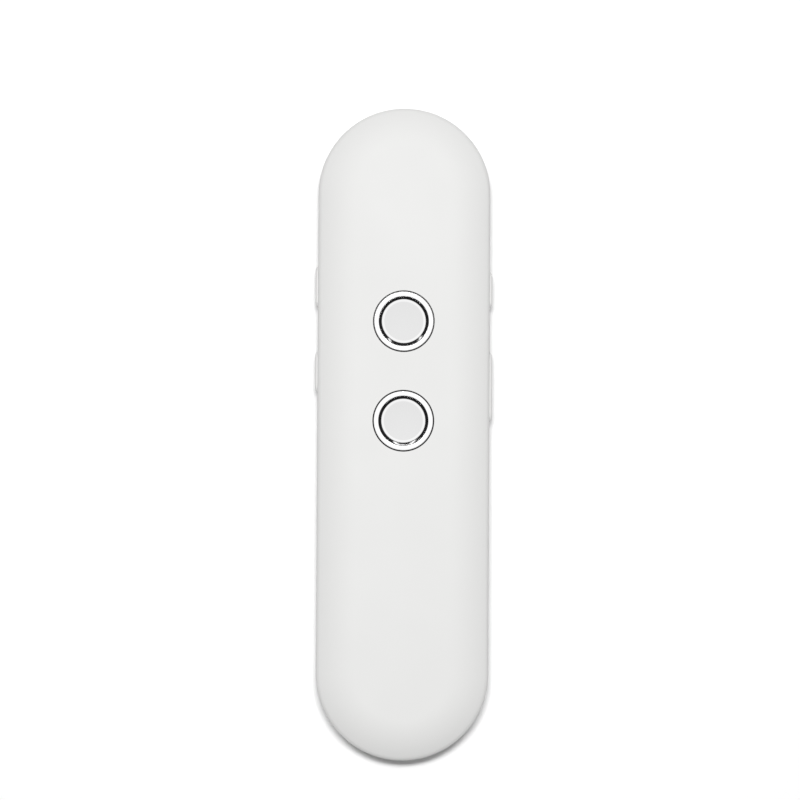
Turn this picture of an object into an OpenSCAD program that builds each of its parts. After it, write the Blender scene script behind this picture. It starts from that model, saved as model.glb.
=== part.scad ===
// Handheld voice translator: a white two-shell bar with two round talk buttons on its front,
// two keys on its left edge, and a power key and a volume rocker on its right edge.
// Millimetres. The bar lies on its back: +Z is the front face, +Y the top end, and the origin
// is the middle of the flat back.

/* [Case] */
// Length of the bar over its round ends
case_length = 144; // [142:1:160]
// Width of the bar without its keys
case_width = 38; // [37:0.5:44]
// Thickness from the flat back to the flat of the front
case_thickness = 11.6; // [11.4:0.1:14]
// Wall of both covers
wall = 1.5; // [1.3:0.1:1.7]
// Width of the crowned band down each side of the front, outside its flat middle
front_band = 9; // [8:0.1:9.5]
// Radius of that crown
front_crown = 15; // [14:0.5:20]
// Radius of the front's outer edge
front_edge = 1.9; // [1.8:0.1:2.4]
// Width of the flat back that the bar rests on
back_flat = 22; // [18:1:24]
// Radius of the crown on either side of the back's flat
back_crown = 24; // [20:1:40]
// Radius of the back's outer edge
back_edge = 3.5; // [3:0.1:3.8]
// Height of the rear cover's tongue inside the front cover
tongue_height = 1; // [0.7:0.1:1.2]
// Thickness of that tongue
tongue_wall = 0.65; // [0.5:0.05:0.75]

/* [Talk buttons] */
// Upper button's distance from the tip of the top end
upper_button_from_top = 47.3; // [45:0.1:50]
// Distance between the two buttons
button_pitch = 21.9; // [18:0.1:26]
// Outer diameter of the white bezel ring
bezel_diameter = 13; // [12.6:0.1:13.4]
// Width of the bezel ring's face
bezel_width = 1; // [0.85:0.05:1.1]
// Height of the bezel ring above the front
bezel_proud = 0.25; // [0.1:0.05:0.5]
// Open joint between the bezel ring and the front cover
bezel_gap = 0.35; // [0.2:0.05:0.4]
// Width of the dark light ring's face
light_ring_width = 0.55; // [0.5:0.05:0.7]
// Depth of the light ring's face below the bezel ring's
light_ring_recess = 0.35; // [0.1:0.05:0.5]
// Depth of the finger dish in the cap
dish_depth = 0.25; // [0.1:0.05:0.35]
// Travel of a talk button
button_travel = 0.3; // [0.2:0.05:0.35]

/* [Side keys] */
// Height of every side key, across the thickness of the bar
key_height = 2.8; // [2.4:0.1:3]
// Height of every key above the side wall
key_proud = 0.6; // [0.4:0.05:1]
// Travel of the sliding keys
key_travel = 0.3; // [0.2:0.05:0.35]
// Length of the three short keys
short_key_length = 10.2; // [9:0.1:11]
// Upper pair's distance from the tip of the top end
upper_key_from_top = 39.1; // [37.5:0.1:40]
// Lower left key's distance from the tip of the top end
lower_key_from_top = 58; // [54:0.1:60]
// Length of the volume rocker
rocker_length = 17.5; // [15:0.1:19]
// Rocker's distance from the tip of the top end
rocker_from_top = 61.7; // [60:0.1:64]
// Length of the slope at the power key's upper end
power_ramp = 2; // [1:0.1:3]
// Depth of the groove under that slope, which tells the power key by touch
grip_groove = 0.2; // [0.1:0.05:0.3]
// Tilt of the rocker to each side, in degrees
rocker_tilt = 1.3; // [0.8:0.1:1.5]
// Distance between the rocker's two switches
rocker_switch_pitch = 12.6; // [10:0.1:13]

/* [Board] */
// Thickness of the main circuit board
board_thickness = 1; // [0.8:0.1:1.2]
// Distance from the front cover's inner face to the board
board_drop = 2.3; // [2.3:0.05:2.6]
// Space between the board's edge and the side wall
board_margin = 1.9; // [1.8:0.05:2.2]
// Height of the talk switches' housings
talk_switch_height = 1.1; // [0.9:0.05:1.1]
// Diameter of the screws' thread
screw_diameter = 1.4; // [1.2:0.1:1.6]

/* [Battery] */
// Width of the pouch cell, whose length and thickness fill the room that is left for it
cell_width = 28; // [20:1:28]
// Space above the cell, for its swelling
cell_headroom = 0.6; // [0.4:0.1:1.2]
// Space left past each end of the cell
cell_end_gap = 3.3; // [2:0.1:5]

/* [Speaker] */
// Diameter of the loudspeaker
speaker_diameter = 20; // [16:0.5:20]
// Loudspeaker's distance from the tip of the top end
speaker_from_top = 19; // [18:0.5:21]
// Depth of the loudspeaker's basket
basket_height = 2; // [1.8:0.1:2.4]
// Thickness of the loudspeaker's magnet
magnet_height = 1.5; // [1.2:0.1:1.6]
// Diameter of one hole of the grille
grille_hole = 1; // [0.8:0.05:1.2]
// Distance between neighbouring holes of the grille
grille_pitch = 2; // [1.8:0.1:2.4]

/* [Charging port] */
// Width of the port's metal shell
port_width = 8.94; // [8.9:0.01:9]
// Height of the port's metal shell
port_height = 3.26; // [3.2:0.01:3.3]
// Depth of the port's metal shell
port_depth = 7.3; // [6.8:0.1:8]
// Distance of the port's mouth behind the tip of the bar
port_inset = 1.1; // [0.9:0.1:1.4]

/* [Hidden] */
$fn = 64;

// Clearances: sliding pieces, flat pieces that only pass each other, and the tongue in its rebate
slide_gap = 0.1;
pass_gap = 0.05;
tongue_gap = 0.1;
// Overlap that merges a feature with the wall it grows from, and cuts' reach past a face
bite = 0.4;
past = 1;

// Case levels and outline
half_width = case_width / 2;
straight = case_length / 2 - half_width;
front_in = case_thickness - wall;
board_top = front_in - board_drop;
board_bottom = board_top - board_thickness;
side_switch_half = 0.8;
key_z = board_bottom - side_switch_half;
parting_z = key_z;
front_flat = case_width - 2 * front_band;
front_turn = asin((front_band - front_edge) / (front_crown - front_edge));
front_edge_z = case_thickness - front_crown + (front_crown - front_edge) * cos(front_turn);
crown_steps = 7;
edge_steps = 9;
seam_bevel = 0.12;
top_y = case_length / 2;
bottom_y = -case_length / 2;

// Talk button levels, from the front face down
bezel_top = case_thickness + bezel_proud;
bezel_r = bezel_diameter / 2;
bezel_bore_r = bezel_r - bezel_width;
ring_r = bezel_bore_r - pass_gap;
ring_bore_r = ring_r - light_ring_width;
ring_top = bezel_top - light_ring_recess;
hole_r = bezel_r + bezel_gap;
foot_height = 0.5;
foot_bottom = front_in - foot_height;
foot_r = hole_r + 0.8;
cap_r = ring_bore_r - slide_gap;
cap_top = bezel_top - 0.1;
cap_web = 0.8;
skirt_wall = 0.7;
ear_height = 0.5;
ear_top = foot_bottom - pass_gap;
ear_reach = 1.1;
ear_angle = 24;
leg_angle = 26;
plunger_top = board_top + talk_switch_height + 0.4;
plunger_r = 0.8;
buttons_y = [top_y - upper_button_from_top, top_y - upper_button_from_top - button_pitch];
led_size = [1.6, 0.8, 0.6];

// Side keys, as places measured from the side wall inwards
key_gap = 0.12;
rocker_end_gap = 0.2;
key_slope = 0.9;
key_nose = 0.35;
wall_in_x = half_width - wall;
flange_x = wall_in_x - slide_gap;
rocker_flange_x = wall_in_x - 0.35;
fulcrum_r = wall_in_x - rocker_flange_x - pass_gap;
flange_thickness = 0.8;
board_half = wall_in_x - board_margin;
switch_face_x = board_half - 0.2;
plunger_tip_x = switch_face_x + 0.6;
side_switch = [2.8, 4.5];
side_plunger = [1.6, 0.8];

// Height of the front cover's inner face over the keys' flanges, which reach up to it
flange_in = half_width - front_edge - flange_x;
flange_ceiling = front_edge_z + sqrt(pow(front_edge - wall, 2) - pow(flange_in, 2));
flange_over = [1.2, min(0.5, flange_ceiling - pass_gap - key_z - key_height / 2)];
upper_key_y = top_y - upper_key_from_top;
lower_key_y = top_y - lower_key_from_top;
rocker_y = top_y - rocker_from_top;
rocker_switches_y = [rocker_y + rocker_switch_pitch / 2, rocker_y - rocker_switch_pitch / 2];

// Screws, in pairs across the board, and their bosses
screw_r = screw_diameter / 2;
screw_head_r = screw_r * 2;
screw_head_height = 0.7;
screw_slot = [1.6, 0.35, 0.4];
boss_r = screw_r + 1.2;
screw_x = switch_face_x - side_switch[0] - screw_head_r - 1;
bottom_screws_y = bottom_y + 15;
screws_at = [for (side = [-1, 1],
    y = [bottom_screws_y, (buttons_y[0] + buttons_y[1]) / 2, top_y - 31]) [side * screw_x, y]];

// Battery, between the volume switches and the bottom screws
tape_thickness = 0.2;
floor_z = wall;
guard_size = [16, 3.4, 0.8];
cell_top_y = rocker_switches_y[1] - side_switch[1] / 2 - guard_size[1] - cell_end_gap;
cell_bottom_y = bottom_screws_y + screw_head_r + cell_end_gap;
cell_length = cell_top_y - cell_bottom_y;
cell_y = (cell_top_y + cell_bottom_y) / 2;
cell_z = floor_z + tape_thickness;
cell_thickness = board_bottom - cell_headroom - cell_z;
rib_height = 2.2;
rib_wall = 0.9;
rib_gap = 0.2;
lead_d = 0.9;

// Speaker, from the rear cover's floor up
speaker_y = top_y - speaker_from_top;
speaker_r = speaker_diameter / 2;
gasket_height = 0.4;
gasket_width = 1.6;
basket_z = floor_z + gasket_height;
magnet_z = basket_z + basket_height;
magnet_r = speaker_r * 0.55;
pad_z = magnet_z + magnet_height;
grille_reach = speaker_r - gasket_width - grille_hole / 2;

// Microphones, on radii of the two round ends
mic_r = 1.5;
mic_length = 1.3;
boot_wall = 0.5;
mic_z = board_bottom - mic_r - boot_wall - slide_gap;
boot_front = wall_in_x - 0.65;
boot_length = mic_length + boot_wall;
mic_hole_r = 0.5;
bottom_mic_angle = 32;

// Charging port, hung under the board
port_z = board_bottom - port_height / 2;
port_y = -(case_length / 2 - port_inset);
port_wall = 0.25;
port_slot_gap = 0.2;

// ---- Outline helpers ----------------------------------------------------------------------

// Points of an arc, by centre, radius and angles in degrees
function arc(centre, r, from, to, steps) =
    [for (i = [0:steps]) let (a = from + (to - from) * i / steps)
        centre + r * [cos(a), sin(a)]];

// Half of one cover's section, from its face's middle out to the side wall. The second
// coordinate is the depth below the face, and inset moves the whole line inwards.
function half_section(flat, crown, edge, inset) =
    let (
        turn = asin((half_width - edge - flat / 2) / (crown - edge)),
        edge_depth = crown - (crown - edge) * cos(turn)
    )
    concat(
        [[0, inset]],
        arc([flat / 2, crown], crown - inset, -90, -90 + turn, crown_steps),
        arc([half_width - edge, edge_depth], edge - inset, -90 + turn, 0, edge_steps)
    );

function front_line(inset) =
    [for (p = half_section(front_flat, front_crown, front_edge, inset))
        [p[0], case_thickness - p[1]]];
function back_line(inset) = half_section(back_flat, back_crown, back_edge, inset);
function backwards(points) = [for (i = [len(points) - 1:-1:0]) points[i]];

// A closed half section with its mirror image, for the straight middle of the bar
function both_halves(points) =
    concat(points, [for (i = [len(points) - 2:-1:1]) [-points[i][0], points[i][1]]]);

// Carries a half section round the whole bar: along both sides and round both ends
module round_bar(points) {
    rotate([90, 0, 0])
        linear_extrude(2 * straight, center = true)
            polygon(both_halves(points));
    for (end = [0, 180])
        rotate([0, 0, end])
            translate([0, straight, 0])
                rotate_extrude(angle = 180)
                    polygon(points);
}

// Everything inside one cover's outer face, up or down to the parting plane
module front_volume(inset, from_z = parting_z) {
    line = front_line(inset);
    round_bar(concat(line, [[half_width - inset, from_z], [0, from_z]]));
}
module back_volume(inset, to_z = parting_z) {
    line = back_line(inset);
    round_bar(concat(line, [[half_width - inset, to_z], [0, to_z]]));
}

// A flat bar with round ends, lying along Y
module stadium(half, reach, height) {
    linear_extrude(height)
        union() {
            square([2 * half, 2 * reach], center = true);
            for (end = [-1, 1])
                translate([0, end * reach])
                    circle(half);
        }
}

// A slot with round ends, seen from the side: length along Y, height along Z, depth along X
module side_slot(length, height, depth) {
    rotate([90, 0, 90])
        linear_extrude(depth)
            hull_free_slot(length, height);
}
module hull_free_slot(length, height) {
    square([length - height, height], center = true);
    for (end = [-1, 1])
        translate([end * (length - height) / 2, 0])
            circle(height / 2);
}

// A ring round Z, between two heights
module ring(outer, inner, from_z, to_z) {
    translate([0, 0, from_z])
        difference() {
            cylinder(r = outer, h = to_z - from_z);
            translate([0, 0, -past])
                cylinder(r = inner, h = to_z - from_z + 2 * past);
        }
}

// The part of a ring that lies within an angle either side of +X and of -X
module ring_sectors(outer, inner, from_z, to_z, half_angle) {
    reach = 2 * outer;
    intersection() {
        ring(outer, inner, from_z, to_z);
        translate([0, 0, from_z - past])
            linear_extrude(to_z - from_z + 2 * past)
                for (side = [-1, 1])
                    polygon([[0, 0],
                        [side * reach, -reach * tan(half_angle)],
                        [side * reach, reach * tan(half_angle)]]);
    }
}

module at_button(i) {
    translate([0, buttons_y[i], 0])
        children();
}

// Children drawn for the right side, at a height along the bar; side -1 turns them to the left
module at_side(side, y) {
    translate([0, y, 0])
        mirror([side < 0 ? 1 : 0, 0, 0])
            children();
}

module block(size, at) {
    translate([at[0] - size[0] / 2, at[1] - size[1] / 2, at[2]])
        cube(size);
}

// ---- Covers -------------------------------------------------------------------------------

key_places = [
    [-1, upper_key_y, short_key_length, key_gap],
    [-1, lower_key_y, short_key_length, key_gap],
    [1, upper_key_y, short_key_length, key_gap],
    [1, rocker_y, rocker_length, rocker_end_gap],
];

module key_slots() {
    for (k = key_places)
        at_side(k[0], k[1])
            translate([wall_in_x - past, 0, key_z])
                side_slot(k[2] + 2 * k[3], key_height + 2 * key_gap, wall + 2 * past);
}

module port_slot() {
    translate([0, port_y - port_inset - past, port_z])
        rotate([-90, 0, 0])
            linear_extrude(port_inset + wall + 2 * past)
                hull_free_slot(port_width + 2 * port_slot_gap, port_height + 2 * port_slot_gap);
}

// The tongue stops short of the port on either side
module port_notch() {
    depth = 2 * wall + port_inset;
    block([port_width + 4, depth, tongue_height + past],
        [0, bottom_y + depth / 2, parting_z]);
}

module mic_holes() {
    for (m = [[1, 0], [-1, bottom_mic_angle]])
        translate([0, m[0] * straight, mic_z])
            rotate([0, 0, m[0] > 0 ? 0 : 180 + m[1]])
                translate([0, wall_in_x - past, 0])
                    rotate([-90, 0, 0])
                        cylinder(r = mic_hole_r, h = wall + 2 * past);
}

// Half-round beads that snap the tongue into the front cover
snaps_y = [bottom_y + 28, rocker_y - 26.3, top_y - 25];
bead_r = 0.3;
bead_z = parting_z + tongue_height * 0.55;
module snap_beads(extra) {
    for (side = [-1, 1], y = snaps_y)
        translate([side * (wall_in_x + tongue_wall - bead_r * 0.35), y, bead_z])
            rotate([90, 0, 0])
                cylinder(r = bead_r + extra, h = 8 + 2 * extra, center = true);
}

// The hole that a bezel ring stands in, with a rounded rim
module bezel_hole() {
    rim = 0.15;
    rotate_extrude()
        polygon(concat(
            [[0, front_in - past], [hole_r, front_in - past]],
            arc([hole_r + rim, case_thickness - rim], rim, 180, 90, 4),
            [[hole_r + rim, case_thickness + past], [0, case_thickness + past]]));
}

module front_cover() {
    rebate_x = wall_in_x + tongue_wall + tongue_gap;
    rebate_z = parting_z + tongue_height + tongue_gap;
    section = concat(
        front_line(0),
        [[half_width, parting_z + seam_bevel], [half_width - seam_bevel, parting_z],
            [rebate_x, parting_z], [rebate_x, rebate_z], [wall_in_x, rebate_z]],
        backwards(front_line(wall)));
    color("white")
        difference() {
            union() {
                round_bar(section);
                intersection() {
                    front_posts();
                    front_volume(wall / 2);
                }
            }
            for (i = [0, 1])
                at_button(i)
                    bezel_hole();
            for (at = screws_at)
                translate([at[0], at[1], board_top - past])
                    cylinder(r = screw_r + 0.02, h = board_drop - 0.2 + past);
            snap_beads(tongue_gap / 2);
            key_slots();
            port_slot();
        }
}

// Screw bosses that carry the board, with a stiffening web towards the side wall
module front_posts() {
    for (at = screws_at) {
        translate([at[0], at[1], board_top])
            cylinder(r = boss_r, h = board_drop + wall);
        block([2 * boss_r, 0.8, wall + board_drop - 0.5],
            [at[0] + sign(at[0]) * boss_r, at[1], board_top + 0.5]);
    }
}

module rear_cover() {
    tongue_x = wall_in_x + tongue_wall;
    tongue_z = parting_z + tongue_height;
    section = concat(
        back_line(0),
        [[half_width, parting_z - seam_bevel], [half_width - seam_bevel, parting_z],
            [tongue_x, parting_z], [tongue_x, tongue_z], [wall_in_x, tongue_z]],
        backwards(back_line(wall)));
    color("white")
        difference() {
            union() {
                round_bar(section);
                intersection() {
                    rear_ribs();
                    back_volume(wall / 2, parting_z + past);
                }
                snap_beads(0);
            }
            grille_holes();
            mic_holes();
            key_slots();
            port_slot();
            port_notch();
        }
}

// Ribs that locate the battery, the speaker and the two microphones
module rear_ribs() {
    base = floor_z - bite;
    height = rib_height + bite;
    rib_x = cell_width / 2 + rib_gap + rib_wall / 2;
    for (side = [-1, 1])
        block([rib_wall, cell_length * 0.6, height], [side * rib_x, cell_y, base]);
    block([cell_width * 0.6, rib_wall, height], [0, cell_bottom_y - rib_gap - rib_wall / 2, base]);
    for (side = [-1, 1])
        block([cell_width * 0.2, rib_wall, height],
            [side * cell_width * 0.38, cell_top_y + rib_gap + rib_wall / 2, base]);
    translate([0, speaker_y, 0])
        ring(speaker_r + rib_gap + rib_wall, speaker_r + rib_gap, base, floor_z + rib_height);
    for (m = [[1, 0], [-1, bottom_mic_angle]])
        at_mic(m[0], m[1])
            mic_cradle(base);
}

// A hexagonal field of holes under the speaker
module grille_holes() {
    row = grille_pitch * sin(60);
    rows = floor(grille_reach / row);
    columns = ceil(grille_reach / grille_pitch);
    for (j = [-rows:rows], i = [-columns:columns]) {
        x = (i + (j % 2 == 0 ? 0 : 0.5)) * grille_pitch;
        y = j * row;
        if (norm([x, y]) < grille_reach)
            translate([x, speaker_y + y, -past])
                cylinder(d = grille_hole, h = wall + 2 * past, $fn = 24);
    }
}

// ---- Talk buttons -------------------------------------------------------------------------

// Bezel ring with a rounded rim, which stands on the light ring's foot
module bezel(i) {
    outer_round = 0.25;
    inner_round = 0.12;
    color("white")
        at_button(i)
            rotate_extrude()
                polygon(concat(
                    [[bezel_bore_r, front_in], [bezel_r, front_in]],
                    arc([bezel_r - outer_round, bezel_top - outer_round], outer_round, 0, 90, 6),
                    arc([bezel_bore_r + inner_round, bezel_top - inner_round], inner_round,
                        90, 180, 6)));
}

// Smoked light guide: a ring that shows inside the bezel, a foot that is glued under the cover
// and carries the bezel, and two legs that pick up the light of the diodes
module light_ring(i) {
    leg_bottom = board_top + 0.75;
    lip = 0.12;
    color([0.08, 0.08, 0.09])
        at_button(i) {
            rotate_extrude()
                polygon(concat(
                    [[ring_bore_r, foot_bottom], [foot_r, foot_bottom], [foot_r, front_in],
                        [ring_r, front_in]],
                    arc([ring_r - lip, ring_top - lip], lip, 0, 90, 3),
                    arc([ring_bore_r + lip, ring_top - lip], lip, 90, 180, 3)));
            rotate([0, 0, 90])
                ring_sectors(ring_r + 0.6, ring_bore_r, leg_bottom, foot_bottom + bite / 2,
                    leg_angle);
        }
}

// Dished cap with a skirt, two ears that stop it under the light ring's foot, and a stem
// that stands on the switch
module button_cap(i) {
    round_r = 0.15;
    dish_r = cap_r - 0.55;
    sphere_r = (dish_r * dish_r + dish_depth * dish_depth) / (2 * dish_depth);
    dish_angle = asin(dish_r / sphere_r);
    skirt_bottom = ear_top - ear_height;
    color("whitesmoke")
        at_button(i) {
            rotate_extrude()
                polygon(concat(
                    [[0, cap_top - dish_depth - cap_web],
                        [cap_r - skirt_wall, cap_top - dish_depth - cap_web],
                        [cap_r - skirt_wall, skirt_bottom], [cap_r, skirt_bottom]],
                    arc([cap_r - round_r, cap_top - round_r], round_r, 0, 90, 6),
                    arc([0, cap_top - dish_depth + sphere_r], sphere_r,
                        -90 + dish_angle, -90, 10)));
            ring_sectors(cap_r + ear_reach, cap_r - skirt_wall / 2, skirt_bottom, ear_top,
                ear_angle);
            translate([0, 0, plunger_top])
                cylinder(r = 1.2, h = cap_top - dish_depth - cap_web / 2 - plunger_top);
        }
}

// Housing of a low tactile switch under a talk button
module talk_switch(i) {
    color("dimgray")
        at_button(i)
            difference() {
                block([4.2, 3.2, talk_switch_height], [0, 0, board_top]);
                translate([0, 0, board_top + 0.05])
                    cylinder(r = plunger_r + pass_gap, h = talk_switch_height + past);
            }
}

module talk_plunger(i) {
    foot_z = board_top + 0.05 + button_travel + pass_gap;
    color("black")
        at_button(i)
            translate([0, 0, foot_z])
                cylinder(r = plunger_r, h = plunger_top - foot_z);
}

// ---- Side keys ----------------------------------------------------------------------------

// One key, drawn on the right side. Its ends slope down to the wall, and a flange behind the
// wall keeps it in. nubs lists the places along the key that press a plunger, ramp is the
// length of its upper slope, and groove the depth of a notch under that slope.
module side_key(length, back_x, nubs, ramp = key_slope, groove = 0) {
    outer_x = half_width + key_proud;
    shoulder_x = half_width - 0.1;
    nose_x = outer_x - key_nose * 0.4;
    upper = length / 2 - ramp - key_nose;
    notch = groove == 0 ? []
        : [[outer_x, upper - 2.4 * groove], [outer_x - groove, upper - 1.2 * groove]];
    plan = concat(
        [[back_x, -length / 2], [shoulder_x, -length / 2], [nose_x, -length / 2 + key_slope],
            [outer_x, -length / 2 + key_slope + key_nose]],
        notch,
        [[outer_x, upper], [nose_x, length / 2 - ramp], [shoulder_x, length / 2],
            [back_x, length / 2]]);
    intersection() {
        translate([0, 0, key_z - key_height])
            linear_extrude(2 * key_height)
                polygon(plan);
        translate([back_x - past, 0, key_z])
            side_slot(length, key_height, outer_x - back_x + 2 * past);
    }
    translate([back_x - flange_thickness, 0, key_z])
        side_slot(length + 2 * flange_over[0], key_height + 2 * flange_over[1],
            flange_thickness);
    for (y = nubs)
        translate([plunger_tip_x, y, key_z])
            rotate([0, 90, 0])
                cylinder(r = 0.7, h = back_x - flange_thickness / 2 - plunger_tip_x);
}

module short_key(side, y, ramp = key_slope, groove = 0) {
    color("white")
        at_side(side, y)
            side_key(short_key_length, flange_x, [0], ramp, groove);
}

// The rocker has room to tilt between wall and plungers, on a half-round fulcrum in its middle
module volume_rocker() {
    fulcrum_height = key_height + 2 * flange_over[1];
    color("white")
        at_side(1, rocker_y) {
            side_key(rocker_length, rocker_flange_x,
                [-rocker_switch_pitch / 2, rocker_switch_pitch / 2]);
            translate([rocker_flange_x, 0, key_z - fulcrum_height / 2])
                cylinder(r = fulcrum_r, h = fulcrum_height);
        }
}

// Housing of a side-acting tactile switch, soldered under the board's edge
module side_switch(side, y) {
    pocket = 1 + key_travel + pass_gap;
    height = board_bottom - key_z + side_switch_half;
    color("dimgray")
        at_side(side, y)
            difference() {
                block([side_switch[0], side_switch[1], height],
                    [switch_face_x - side_switch[0] / 2, 0, key_z - side_switch_half]);
                translate([switch_face_x - pocket, -side_plunger[0] / 2 - pass_gap,
                    key_z - side_plunger[1] / 2 - pass_gap])
                    cube([pocket + past, side_plunger[0] + 2 * pass_gap,
                        side_plunger[1] + 2 * pass_gap]);
            }
}

module side_plunger(side, y, tip_gap = 0) {
    length = plunger_tip_x - switch_face_x + 1 - tip_gap;
    color("black")
        at_side(side, y)
            block([length, side_plunger[0], side_plunger[1]],
                [plunger_tip_x - tip_gap - length / 2, 0, key_z - side_plunger[1] / 2]);
}

// ---- Board --------------------------------------------------------------------------------

module main_board() {
    color("seagreen")
        difference() {
            translate([0, 0, board_bottom])
                stadium(board_half, straight, board_thickness);
            for (at = screws_at)
                translate([at[0], at[1], board_bottom - past])
                    cylinder(r = screw_r + 0.15, h = board_thickness + 2 * past);
        }
}

// Pan-head screws driven up through the board into the front cover's bosses
module board_screws() {
    length = board_thickness + board_drop - 0.7;
    color("silver")
        for (at = screws_at)
            translate([at[0], at[1], board_bottom])
                difference() {
                    union() {
                        cylinder(r = screw_r, h = length);
                        translate([0, 0, -screw_head_height])
                            cylinder(r1 = screw_head_r - 0.3, r2 = screw_head_r,
                                h = screw_head_height);
                    }
                    for (turn = [0, 90])
                        rotate([0, 0, turn])
                            block(screw_slot + [0, 0, past], [0, 0, -screw_head_height - past]);
                }
}

module ring_leds() {
    color("lightyellow")
        for (i = [0, 1], side = [-1, 1])
            at_button(i)
                block(led_size, [0, side * (ring_r + 0.1), board_top]);
}

// A piece on the board's underside, by its size and the middle of its footprint
module under_board(size, at) {
    block(size, [at[0], at[1], board_bottom - size[2]]);
}

can_size = [15, 12, 1.5];
can_at = [-1, buttons_y[0] + 2.2];
can_sheet = 0.2;
module shield_can() {
    color("silver")
        difference() {
            under_board(can_size, can_at);
            under_board(can_size - [2 * can_sheet, 2 * can_sheet, can_sheet], can_at);
        }
}
processor_size = [7, 7, 0.9];
module processor() {
    color("black") under_board(processor_size, can_at - [3, 0]);
}
memory_size = [4, 5, 0.8];
module memory_chip() {
    color("black") under_board(memory_size, can_at + [4, 1]);
}
driver_size = [3, 3, 0.8];
module audio_amplifier() {
    color("black") under_board(driver_size, [4, speaker_y - 14.5]);
}
module charger_chip() {
    color("black") under_board(driver_size, [5.2 - screw_x, bottom_screws_y - 3]);
}
inductor_size = [3, 3, 1.5];
module power_inductor() {
    color("dimgray") under_board(inductor_size, [1.2 - screw_x, bottom_screws_y - 3.5]);
}
crystal_size = [3.2, 1.5, 0.7];
crystal_from_can = 3.75;
module clock_crystal() {
    color("silver")
        under_board(crystal_size,
            can_at + [0, (can_size[1] + crystal_size[1]) / 2 + crystal_from_can]);
}
antenna_size = [7, 2, 1.2];
antenna_at = [-8, top_y - 8];
module radio_antenna() {
    color("ghostwhite") under_board(antenna_size, antenna_at);
}
capacitor_size = [1, 0.5, 0.5];
capacitor_pitch = 2;
module small_capacitors() {
    can_margin = 2.5;
    beside_can = can_size[0] / 2 + can_margin;
    below_can = can_size[1] / 2 + can_margin;
    charger_row_y = bottom_screws_y + 1;
    places = concat(
        [for (i = [-2:3]) can_at + [i * capacitor_pitch, -below_can]],
        [for (i = [-2:3]) can_at + [beside_can, i * capacitor_pitch]],
        [for (i = [-1:1]) [i * capacitor_pitch, charger_row_y]]);
    color("tan")
        for (at = places)
            under_board(capacitor_size, at);
}

// ---- Battery ------------------------------------------------------------------------------

// Pouch cell: a flat body with round long edges
module battery_cell() {
    r = 1.2;
    color("silver")
        translate([0, cell_y, cell_z])
            rotate([90, 0, 0])
                linear_extrude(cell_length, center = true)
                    polygon(concat(
                        arc([cell_width / 2 - r, r], r, -90, 0, 5),
                        arc([cell_width / 2 - r, cell_thickness - r], r, 0, 90, 5),
                        arc([-cell_width / 2 + r, cell_thickness - r], r, 90, 180, 5),
                        arc([-cell_width / 2 + r, r], r, 180, 270, 5)));
}
module battery_tape() {
    color("gold")
        block([cell_width * 0.7, cell_length * 0.8, tape_thickness], [0, cell_y, floor_z]);
}
guard_z = cell_z + cell_thickness * 0.45;
module battery_guard_board() {
    color("darkgreen")
        block(guard_size, [0, cell_top_y + guard_size[1] / 2, guard_z]);
}

// A round wire through points, as one closed tube of eight sides
function unit(v) = v / norm(v);
function heading(points, i) =
    unit(points[min(i + 1, len(points) - 1)] - points[max(i - 1, 0)]);
module wire(points, d, sides = 8) {
    rings = [for (i = [0:len(points) - 1])
        let (
            along = heading(points, i),
            across = unit(cross(along, [0.3, 0.1, 1])),
            up = cross(across, along)
        )
        for (k = [0:sides - 1])
            points[i] + d / 2 * (across * cos(k * 360 / sides) + up * sin(k * 360 / sides))];
    last = len(points) - 1;
    skin = [for (i = [0:last - 1], k = [0:sides - 1])
        let (a = i * sides + k, b = i * sides + (k + 1) % sides)
        each [[a, b, b + sides], [a, b + sides, a + sides]]];
    start = [for (k = [sides - 1:-1:0]) k];
    end = [for (k = [0:sides - 1]) last * sides + k];
    polyhedron(rings, concat([start], skin, [end]));
}

// A smooth route between two points that leaves and arrives along given directions
function bezier(a, b, c, d, steps) =
    [for (i = [0:steps]) let (t = i / steps, s = 1 - t)
        s * s * s * a + 3 * s * s * t * b + 3 * s * t * t * c + t * t * t * d];

plug_at = [0, buttons_y[1] + 5.3];
plug_size = [5, 3, 1.6];
socket_size = [7, 3.2, 2];
plug_z = board_bottom - socket_size[2] / 2;
module battery_lead(side) {
    x = side * 1.2;
    from = [side * 4, cell_top_y + guard_size[1] - 0.6, guard_z + guard_size[2] + lead_d / 2];
    to = [x, plug_at[1] - plug_size[1] / 2 - slide_gap, plug_z];
    wire(bezier(from, from + [0, 3.5, 0], to - [0, 4, 0], to, 10), lead_d);
}
module battery_lead_red() {
    color("red") battery_lead(1);
}
module battery_lead_black() {
    color("black") battery_lead(-1);
}
module battery_plug() {
    color("ivory")
        block(plug_size, [plug_at[0], plug_at[1], plug_z - plug_size[2] / 2]);
}
module battery_socket() {
    color("ivory")
        difference() {
            under_board(socket_size, plug_at + [0, 0.9]);
            block([plug_size[0], plug_size[1] + past, plug_size[2]],
                [plug_at[0], plug_at[1] - past / 2, plug_z - plug_size[2] / 2]);
        }
}

// ---- Speaker ------------------------------------------------------------------------------

module at_speaker() {
    translate([0, speaker_y, 0])
        children();
}
module speaker_gasket() {
    color("dimgray")
        at_speaker()
            ring(speaker_r, speaker_r - gasket_width, floor_z, basket_z);
}
module speaker_mesh() {
    color("black")
        at_speaker()
            translate([0, 0, floor_z])
                cylinder(r = speaker_r - gasket_width, h = 0.15);
}

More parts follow.
